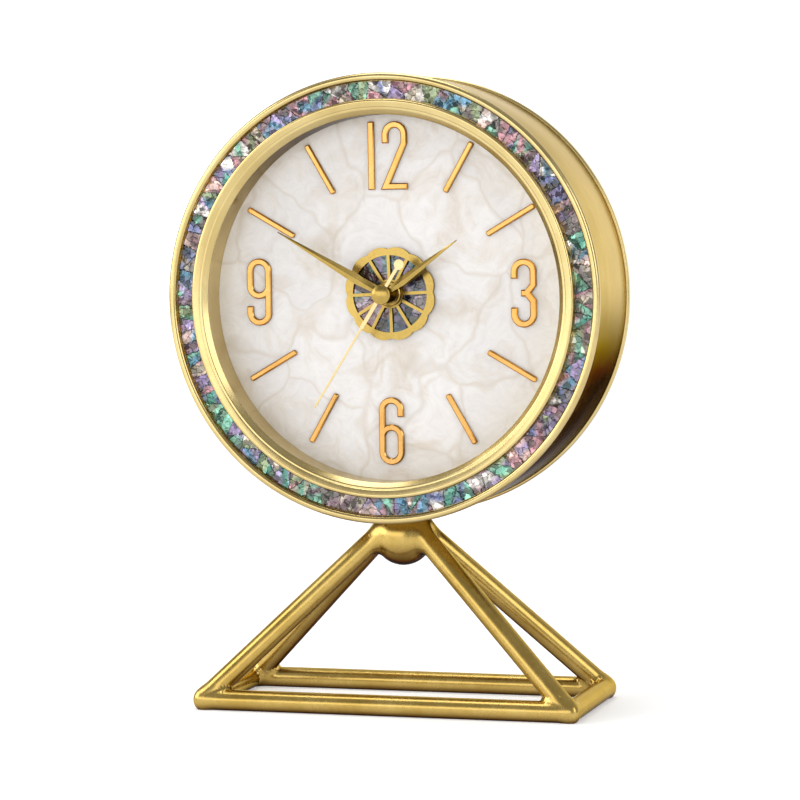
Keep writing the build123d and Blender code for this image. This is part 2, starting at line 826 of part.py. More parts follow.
def box_between(left, right, bottom, top):
    """A rectangle from its four limits."""
    centre = Pos((left + right) / 2, (bottom + top) / 2)
    return centre * Rectangle(right - left, top - bottom)


def make_movement_case():
    """Plastic housing with a pocket for the gears and an open trough for the battery."""
    left, right, bottom, top = pocket_limits()
    floor = -movement_height / 2 + movement_wall
    outer = RectangleRounded(movement_width, movement_height, movement_round)
    body = slab(outer, movement_back_y, movement_depth)
    step_bottom = battery_top() + movement_wall / 2
    step = box_between(-movement_width, movement_width, step_bottom, movement_height)
    body -= slab(step, movement_back_y + overrun, movement_cover_thickness + overrun)
    depth = movement_depth - movement_wall
    body -= slab(box_between(left, right, bottom, top), movement_back_y + overrun, depth + overrun)
    trough = box_between(left, right, floor, battery_top())
    body -= slab(trough, movement_back_y + overrun, depth + overrun)
    body -= shaft(bushing_radius + press_gap, movement_y - overrun, pocket_y + overrun)
    for radius, place in ((motion_arbor_radius, motion_place()), (arbor_radius, third_place())):
        body -= shaft(radius + running_gap, pocket_y - movement_wall / 2, pocket_y + overrun, *place)
    return body


def make_movement_cover():
    """Lid over the gears, with a hole for the setting knob's arbor."""
    lower = battery_top() + movement_wall / 2
    upper = box_between(-movement_width, movement_width, lower, movement_height)
    outline = RectangleRounded(movement_width, movement_height, movement_round) & upper
    outline -= Pos(*motion_place()) * Circle(motion_arbor_radius + bolt_gap)
    return slab(outline, movement_back_y, movement_cover_thickness)


def make_middle_plate():
    """Plate that carries the front pivots of the fast wheels."""
    outline = box_between(*pocket_limits()) - Circle(second_pin_radius + running_gap)
    outline -= Pos(*motion_place()) * Circle(motion_arbor_radius + running_gap)
    for place in (third_place(), fifth_place(), rotor_place()):
        outline -= Pos(*place) * Circle(arbor_radius + running_gap)
    return slab(outline, plate_y + plate_thickness, plate_thickness)


def stator_foot_z():
    """Bottom of the stator, just above the setting knob's arbor."""
    return rotor_distance - stator_foot / 2


def stator_top_z():
    """Top of the stator's upper bar."""
    return stator_foot_z() + stator_foot + stator_window + stator_bar


def make_back_plate():
    """Plate that carries the back pivots, below the coil."""
    left, right, bottom, _ = pocket_limits()
    top = stator_foot_z() + stator_foot
    outline = box_between(left, right, bottom, top) - Circle(second_pin_radius + running_gap)
    outline -= Pos(*motion_place()) * Circle(motion_arbor_radius + running_gap)
    for place in (fifth_place(), rotor_place()):
        outline -= Pos(*place) * Circle(arbor_radius + running_gap)
    return slab(outline, board_y, back_plate_thickness)


def stator_bar_box():
    """The stator's upper bar, which the coil is wound on."""
    half = stator_width / 2
    return box_between(-half, half, stator_top_z() - stator_bar, stator_top_z())


def make_stator():
    """Laminated frame round the rotor, with the bar that carries the coil."""
    half = stator_width / 2
    outline = box_between(-half, half, stator_foot_z(), stator_top_z())
    window_bottom = stator_foot_z() + stator_foot
    inner_half = half - stator_side
    outline -= box_between(-inner_half, inner_half, window_bottom, window_bottom + stator_window)
    outline -= Pos(*rotor_place()) * Circle(rotor_radius + rotor_gap)
    return slab(outline, stator_y() + stator_thickness, stator_thickness)


def stator_y():
    """Front of the stator, level with the rotor's back."""
    return back_plate_y - stator_thickness


def make_coil():
    """Coil wound round the stator's upper bar."""
    middle_y = stator_y() + stator_thickness / 2
    middle_z = dial_height + stator_top_z() - stator_bar / 2
    winding = Pos(0, middle_y, middle_z) * Rot(0, 90, 0) * Cylinder(coil_radius, coil_length)
    bar = slab(stator_bar_box(), stator_y() + stator_thickness, stator_thickness)
    return winding - bar


def board_place():
    """Centre of the circuit board, on the back plate beside the gears."""
    _, right, bottom, _ = pocket_limits()
    return right - board_width / 2 - overrun, bottom + board_height / 2 + overrun


def make_circuit_board():
    """Small board on the back plate."""
    y_back = board_y + board_thickness
    return slab(Pos(*board_place()) * Rectangle(board_width, board_height), y_back, board_thickness)


def make_quartz_crystal():
    """Tuning fork crystal in its can, lying on the board."""
    x, z = board_place()
    y = crystal_back_y - crystal_radius
    return Pos(x, y, dial_height + z) * Rot(0, 90, 0) * Cylinder(crystal_radius, crystal_length)


def battery_y():
    """Axis of the battery, from front to back."""
    return pocket_y + battery_radius


def trough_end():
    """Half length of the battery's trough."""
    return movement_width / 2 - movement_wall


def along_x(radius, start, end, z, y):
    """A round bar along X."""
    place = Pos((start + end) / 2, y, dial_height + z)
    return place * Rot(0, 90, 0) * Cylinder(radius, end - start)


def make_battery():
    """AA cell with its nub at the right, seen from the front."""
    nub_end = trough_end() - contact_thickness
    body_end = nub_end - battery_nub_length
    body = along_x(battery_radius, body_end - battery_length, body_end, battery_height(), battery_y())
    nub = along_x(battery_nub_radius, body_end, nub_end, battery_height(), battery_y())
    return body + nub


def contact_plate(x_inner, x_outer):
    """Flat spring plate at one end of the trough."""
    size = (abs(x_outer - x_inner), contact_width, contact_width)
    return Pos((x_inner + x_outer) / 2, battery_y(), dial_height + battery_height()) * Box(*size)


def make_positive_contact():
    """Plate that the nub presses on."""
    return contact_plate(trough_end() - contact_thickness, trough_end())


def make_negative_contact():
    """Plate with its conical spring."""
    plate_inner = -trough_end() + contact_thickness
    length = contact_spring_length
    cone = Cone(contact_spring_radius + length / 2, contact_spring_radius, length)
    place = Pos(plate_inner + length / 2, battery_y(), dial_height + battery_height())
    return contact_plate(-trough_end(), plate_inner) + place * Rot(0, 90, 0) * cone


def make_rubber_washer():
    """Soft washer between the dial's backing and the movement."""
    ring = Circle(washer_radius) - Circle(bushing_collar_radius + seam_gap)
    return slab(ring, movement_y, washer_thickness)


def make_setting_knob():
    """Ribbed knob on the back end of the motion arbor."""
    x, z = motion_place()
    outline = Circle(knob_radius)
    for index in range(knob_rib_count):
        outline += Pos(*polar(knob_radius, 360 * index / knob_rib_count)) * Circle(knob_rib_radius)
    y_back = movement_back_y + knob_gap + knob_length
    knob = slab(Pos(x, z) * outline, y_back, knob_length)
    return knob - shaft(motion_arbor_radius + press_gap, movement_back_y, y_back - overrun, x, z)


def cover_y():
    """Back face of the back cover."""
    return back_y - cover_setback


def lug_places():
    """Screw places on the lugs, seen from the case axis."""
    radius = band_inner - lug_reach / 2
    return [polar(radius, 45 + 360 * index / lug_count) for index in range(lug_count)]


def make_back_cover():
    """Round back plate with the opening over the movement."""
    outline = Circle(band_inner - cover_gap) - Pos(0, dial_rise) * Circle(cover_hole_radius)
    for place in lug_places():
        outline -= Pos(*place) * Circle(screw_radius + bolt_gap)
    return slab(outline, cover_y(), cover_thickness, case_height)


def make_cover_lugs():
    """Threaded lugs on the inside of the band that carry the back cover."""
    front = cover_y() - cover_thickness
    lugs = []
    blocks = make_ring_of_blocks(lug_count, 45, lug_width, lug_reach, front, lug_depth)
    for block, place in zip(blocks, lug_places()):
        thread = Pos(*place) * Circle(screw_radius + press_gap)
        lugs.append(block - slab(thread, front + overrun, lug_depth + 2 * overrun, case_height))
    return lugs


def make_cover_screws():
    """Slotted pan head screws of the back cover."""
    screws = []
    for place in lug_places():
        shank = slab(Pos(*place) * Circle(screw_radius), cover_y(), screw_length, case_height)
        head_y = cover_y() + screw_head_height
        head = slab(Pos(*place) * Circle(screw_head_radius), head_y, screw_head_height, case_height)
        slot = Pos(*place) * Rectangle(2 * screw_head_radius + overrun, screw_slot)
        cut = slab(slot, head_y + overrun, screw_head_height / 2 + overrun, case_height)
        screws.append(shank + head - cut)
    return screws


def capsule_bar(y):
    """A base rod along X with rounded ends, ground flat underneath."""
    left = (-base_half_width, y, rod_height)
    right = (base_half_width, y, rod_height)
    ends = Pos(*left) * Sphere(rod_radius) + Pos(*right) * Sphere(rod_radius)
    return rod_between(left, right, rod_radius) + ends


def grind(solid):
    """Cut away what lies below the table."""
    size = 2 * (base_half_width + base_half_depth)
    return solid - Pos(0, 0, -size / 2) * Box(size, size, size)


def cope(solid, radius, ends):
    """Fit the end of a rod to the rods that it meets."""
    for start, end in ends:
        solid -= rod_between(start, end, radius)
        solid -= Pos(*start) * Sphere(radius)
        solid -= Pos(*end) * Sphere(radius)
    return solid


def bar_ends(y):
    """Axis ends of the front or the back bar."""
    return (-base_half_width, y, rod_height), (base_half_width, y, rod_height)


def make_side_bar(side):
    """Base rod along Y, coped to the front and back bars."""
    x = side * base_half_width
    bar = rod_between((x, -base_half_depth, rod_height), (x, base_half_depth, rod_height), rod_radius)
    bars = [bar_ends(-base_half_depth), bar_ends(base_half_depth)]
    return grind(cope(bar, rod_radius + weld_gap, bars))


def leg_aim():
    """Height over the table where the legs' axes meet, above the ball centre.

    Each axis passes the centre at a set distance, so that the ball closes over the leg's end.
    """
    run = math.hypot(base_half_width, base_half_depth)
    rise = ball_height - rod_height
    miss = ball_radius - rod_radius - leg_inset
    slope = math.atan2(rise, run) + math.asin(miss / math.hypot(run, rise))
    return rod_height + run * math.tan(slope)


def make_leg(side, end):
    """Rod from a corner of the base up to the ball."""
    corner = (side * base_half_width, end * base_half_depth, rod_height)
    leg = rod_between(corner, (0, 0, leg_aim()), rod_radius)
    across = (side * base_half_width, -end * base_half_depth, rod_height)
    other = (-side * base_half_width, end * base_half_depth, rod_height)
    leg = cope(leg, rod_radius + weld_gap, [(corner, across), (corner, other)])
    leg -= Pos(0, 0, ball_height) * Sphere(ball_radius + weld_gap)
    return leg.solids().sort_by(SortBy.VOLUME)[-1]


def make_stand_ball():
    """Ball between the legs, cut to the underside of the drum and bored for the bolt."""
    ball = Pos(0, 0, ball_height) * Sphere(ball_radius)
    drum = Pos(0, 0, case_height) * Rot(90, 0, 0) * Cylinder(band_radius + weld_gap, case_depth)
    top = ball_height + ball_drop + band_wall
    thread = Cylinder(stand_bolt_radius + press_gap, stand_bolt_grip + overrun)
    return ball - drum - Pos(0, 0, top - stand_bolt_grip / 2) * thread


def saddle_top():
    """Flat top of the saddle washer, inside the drum."""
    return case_height - band_inner + saddle_thickness


def make_saddle_washer():
    """Washer shaped to the inside of the band, under the bolt's head."""
    block = Box(saddle_width, saddle_width, 2 * saddle_thickness)
    block = Pos(0, 0, saddle_top() - saddle_thickness) * block
    bore = Pos(0, 0, case_height) * Rot(90, 0, 0) * Cylinder(band_inner - weld_gap, case_depth)
    hole = Pos(0, 0, saddle_top()) * Cylinder(stand_bolt_radius + bolt_gap, 4 * saddle_thickness)
    return (block & bore) - hole


def make_stand_bolt():
    """Hexagon bolt from inside the drum into the ball."""
    low_up = Align.CENTER, Align.CENTER, Align.MIN
    tip = ball_height + ball_drop + band_wall - stand_bolt_grip
    shank = Pos(0, 0, tip) * Cylinder(stand_bolt_radius, saddle_top() - tip, align=low_up)
    hexagon = RegularPolygon(stand_bolt_head / 2, 6, major_radius=False)
    head = Pos(0, 0, saddle_top()) * extrude(hexagon, amount=stand_bolt_head_height)
    return shank + head


def all_nodes():
    """Every separate piece of the clock, by name."""
    nodes = {
        "case_band": make_case_band(),
        "front_flange": make_front_flange(),
        "front_rim": make_front_rim(),
        "back_rim": make_back_rim(),
        "shell_inlay": make_shell_inlay(),
        "inner_bezel": make_inner_bezel(),
        "dial_spacer": make_dial_spacer(),
        "pearl_dial": make_dial_disc(backing_y, pearl_thickness),
        "dial_backing": make_dial_disc(dial_back_y, backing_thickness),
        "dial_clips": make_ring_of_blocks(
            clip_count, 45, clip_width, clip_reach, dial_back_y + clip_thickness, clip_thickness
        ),
        "hour_batons": make_hour_batons(),
        "numeral_12": make_numeral_12(),
        "numeral_3": make_numeral_3(),
        "numeral_6": make_mark(centred(Rot(0, 0, 180) * nine_sketch(), -six_shift, -numeral_radius)),
        "numeral_9": make_mark(centred(nine_sketch(), -numeral_radius - nine_shift, nine_rise)),
        "shell_disc": make_shell_disc(),
        "rosette": make_rosette(),
        "bushing": make_bushing(),
        "bushing_washer": make_bushing_washer(),
        "bushing_nut": make_bushing_nut(),
        "hour_hand": make_hour_hand(),
        "minute_hand": make_minute_hand(),
        "minute_nut": make_minute_nut(),
        "second_hand": make_second_hand(),
        "second_cap": make_second_cap(),
        "rubber_washer": make_rubber_washer(),
        "movement_case": make_movement_case(),
        "movement_cover": make_movement_cover(),
        "middle_plate": make_middle_plate(),
        "back_plate": make_back_plate(),
        "hour_wheel": make_hour_wheel(),
        "cannon_pinion": make_cannon_pinion(),
        "motion_wheel": make_motion_wheel(),
        "centre_wheel": make_centre_wheel(),
        "third_wheel": make_third_wheel(),
        "second_wheel": make_second_wheel(),
        "fifth_wheel": make_fifth_wheel(),
        "rotor": make_rotor(),
        "stator": make_stator(),
        "coil": make_coil(),
        "circuit_board": make_circuit_board(),
        "quartz_crystal": make_quartz_crystal(),
        "battery": make_battery(),
        "positive_contact": make_positive_contact(),
        "negative_contact": make_negative_contact(),
        "setting_knob": make_setting_knob(),
        "back_cover": make_back_cover(),
        "cover_lugs": make_cover_lugs(),
        "cover_screws": make_cover_screws(),
        "stand_ball": make_stand_ball(),
        "stand_bolt": make_stand_bolt(),
        "saddle_washer": make_saddle_washer(),
        "front_bar": grind(capsule_bar(-base_half_depth)),
        "back_bar": grind(capsule_bar(base_half_depth)),
        "left_bar": make_side_bar(-1),
        "right_bar": make_side_bar(1),
    }
    for end, depth_name in ((-1, "front"), (1, "back")):
        for side, side_name in ((-1, "left"), (1, "right")):
            nodes["leg_" + depth_name + "_" + side_name] = make_leg(side, end)
    return nodes


os.makedirs("parts", exist_ok=True)
for name, shape in all_nodes().items():
    if isinstance(shape, list):
        shape = Compound(children=[solid for piece in shape for solid in piece.solids()])
    export_step(shape, "parts/" + name + ".step")
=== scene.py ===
import logging
import math
from dataclasses import dataclass, field

import bmesh
import bpy
import numpy as np
from mathutils import Matrix, Vector


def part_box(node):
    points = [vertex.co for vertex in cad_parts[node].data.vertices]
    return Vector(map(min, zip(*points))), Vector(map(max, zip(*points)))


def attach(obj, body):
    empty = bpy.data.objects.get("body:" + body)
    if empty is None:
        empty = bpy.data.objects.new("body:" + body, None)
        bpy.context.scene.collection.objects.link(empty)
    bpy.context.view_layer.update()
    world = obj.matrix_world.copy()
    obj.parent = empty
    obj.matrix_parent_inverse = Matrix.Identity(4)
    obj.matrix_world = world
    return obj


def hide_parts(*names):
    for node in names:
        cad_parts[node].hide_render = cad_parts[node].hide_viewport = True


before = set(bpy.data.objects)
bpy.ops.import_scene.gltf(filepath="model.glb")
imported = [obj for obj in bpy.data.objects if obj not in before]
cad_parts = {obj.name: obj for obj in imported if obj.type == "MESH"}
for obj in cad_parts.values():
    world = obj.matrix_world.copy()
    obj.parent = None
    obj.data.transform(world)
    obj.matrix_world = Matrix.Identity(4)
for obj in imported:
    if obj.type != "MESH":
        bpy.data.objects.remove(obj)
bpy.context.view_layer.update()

LOG = logging.getLogger("desk_clock")
MM = 0.001
SHELL_IOR = 1.53
POLE_GAP = 0.002  # mm between points that become one pole
# Heights over the floor, in millimetres, of the drum's axis and of the dial's middle.
CASE_AXIS = 185.3
DIAL_AXIS = 187.2

Array = np.ndarray
Colour = tuple[float, float, float, float]
Socket = bpy.types.NodeSocket
Material = bpy.types.Material
Triple = tuple[float, float, float]


def linear(code: str) -> Colour:
    """Turn an sRGB hex colour to linear light.

    Formula: a channel up to 0.04045 is divided by 12.92, and a higher one is
    (channel + 0.055) / 1.055 raised to the power 2.4.

    Args:
        code: the colour as "#RRGGBB".

    Returns:
        Red, green and blue in linear light, and an alpha of one.
    """
    values = np.array([int(code[place:place + 2], 16) for place in (1, 3, 5)]) / 255
    light = np.where(values <= 0.04045, values / 12.92, ((values + 0.055) / 1.055) ** 2.4)
    red, green, blue = light.tolist()
    return (red, green, blue, 1.0)


@dataclass
class Net:
    """A node tree, with one call for each kind of node that the finishes share."""

    tree: bpy.types.NodeTree

    def feed(self, node: bpy.types.Node, values: dict) -> None:
        """Link or set a node's inputs.

        Args:
            node: the node.
            values: input name or number to the output, or the constant, that feeds it.
        """
        for key, value in values.items():
            if isinstance(value, Socket):
                self.tree.links.new(value, node.inputs[key])
            else:
                node.inputs[key].default_value = value

    def add(self, kind: str, values: dict | None = None, **settings: object) -> bpy.types.Node:
        """Add one node.

        Args:
            kind: the node's type.
            values: what feeds its inputs.
            settings: the node's own properties.

        Returns:
            The new node.
        """
        node = self.tree.nodes.new(kind)
        for key, value in settings.items():
            setattr(node, key, value)
        self.feed(node, values or {})
        return node

    def place(self) -> Socket:
        """Give the place on the object."""
        return self.add("ShaderNodeTexCoord").outputs["Object"]

    def noise(self, place: Socket, size_mm: float, detail: float, roughness: float = 0.5,
              distortion: float = 0.0) -> bpy.types.Node:
        """Add a noise whose largest features are about size_mm wide."""
        return self.add("ShaderNodeTexNoise", {"Vector": place, "Scale": 1 / (size_mm * MM),
                                               "Detail": detail, "Roughness": roughness,
                                               "Distortion": distortion})

    def spread(self, value: Socket, start: float, end: float, low: float = 0.0, high: float = 1.0,
               easing: str = "LINEAR") -> Socket:
        """Map a value from start to end onto low to high, and hold it outside."""
        return self.add("ShaderNodeMapRange", {"Value": value, "From Min": start, "From Max": end,
                                               "To Min": low, "To Max": high},
                        interpolation_type=easing).outputs[0]

    def maths(self, operation: str, one: Socket, other: Socket | float = 0.0) -> Socket:
        """Work out one operation on two values."""
        return self.add("ShaderNodeMath", {0: one, 1: other}, operation=operation).outputs[0]

    def split(self, vector: Socket) -> tuple[Socket, ...]:
        """Take a vector apart into x, y and z."""
        return tuple(self.add("ShaderNodeSeparateXYZ", {0: vector}).outputs)

    def moved(self, vector: Socket, shift: Socket | Triple) -> Socket:
        """Add two vectors."""
        return self.add("ShaderNodeVectorMath", {0: vector, 1: shift}, operation="ADD").outputs[0]

    def scaled(self, vector: Socket, scale: Socket | float) -> Socket:
        """Multiply a vector or a colour by a number."""
        return self.add("ShaderNodeVectorMath", {0: vector, "Scale": scale},
                        operation="SCALE").outputs[0]

    def blend(self, share: Socket, one: Socket | Colour, other: Socket | Colour) -> Socket:
        """Mix two colours by a share of the second."""
        return self.add("ShaderNodeMix", {0: share, 6: one, 7: other}, data_type="RGBA").outputs[2]

    def ramp(self, value: Socket, *stops: tuple[float, str]) -> Socket:
        """Colour a value by a ramp, whose stops are places and hex colours."""
        node = self.add("ShaderNodeValToRGB", {0: value})
        elements = node.color_ramp.elements
        for place, (position, code) in enumerate(stops):
            element = elements[place] if place < len(elements) else elements.new(position)
            element.position = position
            element.color = linear(code)
        return node.outputs[0]

    def bump(self, height: Socket, strength: float, relief_mm: float) -> Socket:
        """Turn a value into fine relief."""
        return self.add("ShaderNodeBump", {"Height": height, "Strength": strength,
                                           "Distance": relief_mm * MM}).outputs[0]


def blank(name: str) -> tuple[Material, Net, bpy.types.Node]:
    """Make a material with an empty tree and a linked Principled shader.

    Args:
        name: the material's name.

    Returns:
        The material, its tree and its shader.
    """
    material = bpy.data.materials.new(name)
    material.use_nodes = True
    net = Net(material.node_tree)
    net.tree.nodes.clear()
    shader = net.add("ShaderNodeBsdfPrincipled")
    net.add("ShaderNodeOutputMaterial", {"Surface": shader.outputs[0]})
    return material, net, shader


@dataclass(frozen=True)
class SatinBrass:
    """Brass rubbed until it mirrors the room only in soft bands.

    Lines and clouds shift its colour a little, a thin lacquer lays a white shine over it, and faces
    that look down get painted shade and a painted brown reflection, and side faces can get painted shade.
    """

    name: str
    tint: str
    shade: str
    roughness: float
    line_mm: float
    turned: bool = False
    cloud_mm: float = 22.0
    bump_mm: float = 0.0005
    lacquer: float = 0.06
    edge: str = "#E0CE98"
    # Painted shade and a painted dark reflection: the shade's colour, the reflection's tint and the
    # shade's strength on faces that look down, the slope over which both fade in, and the shade's strength
    # on side faces.
    painted_shade_colour: str = "#4A3010"
    painted_low_reflection: str = "#4A3010"
    painted_down_shade: float = 0.0
    fade: tuple[float, float] = (0.05, -0.42)
    painted_side_shade: float = 0.0

    def material(self) -> Material:
        """Build the brass with its lines, its cloudy wear and its lacquer."""
        material, net, shader = blank(self.name)
        place = net.place()
        grain_place = place
        if self.turned:
            # Distance from the case axis and depth make rings of the noise.
            x, y, z = net.split(net.moved(place, (0, 0, -CASE_AXIS * MM)))
            flat = net.add("ShaderNodeCombineXYZ", {0: x, 2: z})
            radius = net.add("ShaderNodeVectorMath", {0: flat.outputs[0]}, operation="LENGTH")
            grain_place = net.add("ShaderNodeCombineXYZ", {0: radius.outputs["Value"], 1: y}).outputs[0]
        lines = net.noise(grain_place, self.line_mm, 3.0, 0.6).outputs["Fac"]
        cloud = net.noise(place, self.cloud_mm, 4.0, 0.55).outputs["Fac"]
        both = net.add("ShaderNodeMix", {0: 0.3, 2: cloud, 3: lines}).outputs[0]
        colour = net.ramp(both, (0.35, self.shade), (0.62, self.tint))
        _, facing, rising = net.split(net.add("ShaderNodeNewGeometry").outputs["Normal"])
        # Painted shade: faces that look down are darkened towards a brown colour, by the share set for
        # each finish.
        slope = net.spread(rising, *self.fade, easing="SMOOTHSTEP")
        down = net.maths("MULTIPLY", slope, self.painted_down_shade)
        # Painted shade: faces that look sideways, rather than to the front or back, are darkened.
        front = net.maths("ABSOLUTE", facing)
        side = net.spread(front, 0.55, 0.3, high=self.painted_side_shade)
        net.feed(shader, {
            "Base Color": net.blend(net.maths("MAXIMUM", down, side), colour, linear(self.painted_shade_colour)),
            # Painted reflection: where a face that looks down mirrors at a flat angle its tint turns
            # brown, as if it reflected dark surroundings.
            "Specular Tint": net.blend(slope, linear(self.edge), linear(self.painted_low_reflection)),
            "Roughness": net.spread(both, 0.3, 0.7, self.roughness - 0.03, self.roughness + 0.04),
            "Normal": net.bump(lines, 0.5, self.bump_mm),
            "Metallic": 1.0,
            "Coat Weight": self.lacquer,
            "Coat Roughness": 0.18,
        })
        return material


@dataclass(frozen=True)
class ShellChips:
    """Abalone chips under clear resin.

    Thin layers of shell shift from green to violet as they tilt, and the
    resin over them adds small hard white glints.
    """

    name: str = "abalone_shell_in_resin"
    roughness: float = 0.16
    band_mm: float = 2.6
    film_nm: float = 420.0

    def material(self) -> Material:
        """Build the chips from their own colour and fine bands across it."""
        material, net, shader = blank(self.name)
        own = net.add("ShaderNodeAttribute", attribute_name=ChipField.COLOUR)
        swirl = net.noise(net.place(), self.band_mm, 2.0, distortion=1.4).outputs["Fac"]
        light = net.spread(swirl, 0.3, 0.72, 0.55, 1.45)
        net.feed(shader, {
            "Base Color": net.scaled(own.outputs["Color"], light),
            "Normal": net.bump(swirl, 0.4, 0.08),
            "Metallic": 0.55,
            "Roughness": self.roughness,
            "IOR": SHELL_IOR,
            "Thin Film Thickness": self.film_nm,
            "Thin Film IOR": 1.66,
            "Coat Weight": 1.0,
            "Coat Roughness": 0.05,
        })
        return material


@dataclass(frozen=True)
class PearlVeneer:
    """Overlapping leaves of mother of pearl.

    The leaves are milky white with a breath of pink, and thin seams and soft
    beige clouds show where one lies over the next.
    """

    name: str = "mother_of_pearl_veneer"
    leaf_mm: float = 46.0
    cloud_mm: float = 26.0
    crackle_mm: float = 7.0
    roughness: float = 0.34

    def material(self) -> Material:
        """Build the leaves, their seams, the clouds inside them and a fine crackle."""
        material, net, shader = blank(self.name)
        place = net.place()
        bend = net.noise(place, self.cloud_mm, 2.0)
        shift = net.scaled(bend.outputs["Color"], 0.5 * self.leaf_mm * MM)
        bent = net.moved(place, shift)
        cells = {"Vector": bent, "Scale": 1 / (self.leaf_mm * MM)}
        leaves = net.add("ShaderNodeTexVoronoi", cells, feature="F1")
        seam = net.add("ShaderNodeTexVoronoi", cells, feature="DISTANCE_TO_EDGE")
        cloud = net.noise(bent, self.cloud_mm, 6.0, 0.62, 0.8).outputs["Fac"]
        crackle = net.noise(bent, self.crackle_mm, 5.0, 0.7, 2.2).outputs["Fac"]
        milk = net.ramp(cloud, (0.28, "#E2D7C8"), (0.40, "#EFE8E1"), (0.52, "#F8F5F3"), (0.72, "#F5F0EF"))
        seam_part = net.spread(seam.outputs["Distance"], 0.0, 0.03, 0.6, 0.0)
        seamed = net.blend(net.maths("MULTIPLY", seam_part, crackle), milk, linear("#CDBBA0"))
        # Each leaf is a little lighter or darker than its neighbours.
        own = net.add("ShaderNodeSeparateColor", {0: leaves.outputs["Color"]})
        leaf_light = net.spread(own.outputs[0], 0.0, 1.0, 0.93, 1.0)
        streak = net.spread(crackle, 0.35, 0.6, 0.93, 1.0)
        net.feed(shader, {
            "Base Color": net.scaled(seamed, net.maths("MULTIPLY", leaf_light, streak)),
            "Normal": net.bump(crackle, 0.35, 0.15),
            "Roughness": self.roughness,
            "IOR": SHELL_IOR,
            "Coat Weight": 0.3,
            "Coat Roughness": 0.15,
        })
        return material


@dataclass(frozen=True)
class Moulded:
    """Moulded plastic or rubber with the fine sparked grain of its tool."""

    name: str
    colour: str
    shade: str
    roughness: float
    grain_mm: float = 0.35

    def material(self) -> Material:
        """Build the plastic with its grain and slightly uneven shine."""
        material, net, shader = blank(self.name)
        place = net.place()
        grain = net.noise(place, self.grain_mm, 2.0).outputs["Fac"]
        flow = net.noise(place, 40 * self.grain_mm, 3.0).outputs["Fac"]
        net.feed(shader, {
            "Base Color": net.ramp(flow, (0.35, self.shade), (0.65, self.colour)),
            "Roughness": net.spread(flow, 0.0, 1.0, self.roughness - 0.06, self.roughness + 0.06),
            "Normal": net.bump(grain, 0.5, 0.03),
            "IOR": 1.5,
        })
        return material


@dataclass(frozen=True)
class PlainMetal:
    """Plated or ground metal of the hidden pieces, with short drawn lines."""

    name: str
    colour: str
    shade: str
    roughness: float
    line_mm: float = 0.4

    def material(self) -> Material:
        """Build the metal with lines stretched along X."""
        material, net, shader = blank(self.name)
        drawn = net.add("ShaderNodeMapping", {"Vector": net.place(), "Scale": (0.12, 1.0, 1.0)})
        lines = net.noise(drawn.outputs[0], self.line_mm, 3.0).outputs["Fac"]
        net.feed(shader, {
            "Base Color": net.ramp(lines, (0.35, self.shade), (0.65, self.colour)),
            "Normal": net.bump(lines, 0.4, 0.02),
            "Metallic": 1.0,
            "Roughness": self.roughness,
        })
        return material


# Sheet rubbed on a lathe: one broad soft band of light along the drum, olive above and brown below; the
# brown below is partly painted shade and a painted dark reflection on faces that look down.
CASE_BRASS = SatinBrass("satin_brass_case", "#CDB572", "#BAA05C", 0.22, 1.2, turned=True, lacquer=0.0,
                        edge="#F2E6C8", painted_low_reflection="#3A1E00", painted_down_shade=0.35, fade=(0.08, -0.42))
# Turned mouldings, polished and lacquered: thin cream lines of light beside olive hollows; faces that look
# down carry painted shade and a painted brown reflection.
RING_BRASS = SatinBrass("polished_brass_rings", "#D3BE84", "#C2AA6C", 0.22, 1.2, turned=True, lacquer=0.5,
                        edge="#FFF8E4", painted_down_shade=0.5, fade=(-0.2, -1.0))
# Drawn rod, welded and rubbed by hand: soft bands along each rod, with no rings; the lower sides of the
# rods carry strong painted shade and a painted brown reflection.
STAND_BRASS = SatinBrass("satin_brass_stand", "#C8AB62", "#B4954A", 0.26, 2.5, lacquer=0.1,
                         edge="#E8D8A8", painted_shade_colour="#4A2A08", painted_low_reflection="#4A2A08", painted_down_shade=0.9,
                         fade=(0.0, -0.9))
# Pressed strip with a copper tone: orange gold faces with paler bevels, and painted shade on its side
# faces.
MARK_BRASS = SatinBrass("warm_brass_marks", "#D6A662", "#C4904C", 0.22, 1.6, painted_shade_colour="#7A4616",
                        painted_side_shade=0.9)
# Stamped sheet: two flat slopes on each hand, one light and one dark, and painted shade on its side faces.
HAND_BRASS = SatinBrass("satin_brass_hands", "#B99D56", "#A28846", 0.24, 1.6, painted_side_shade=0.8)
# The same sheet in a pale plating, which sets the second hand off from the other two.
PALE_BRASS = SatinBrass("pale_brass_second_hand", "#D4BE8E", "#C6AE7C", 0.26, 1.6)

# Zinc plate: middle grey, duller than nickel, for screws and lugs.
ZINC_PLATE = PlainMetal("zinc_plated_steel", "#B9BABD", "#A3A4A8", 0.32)

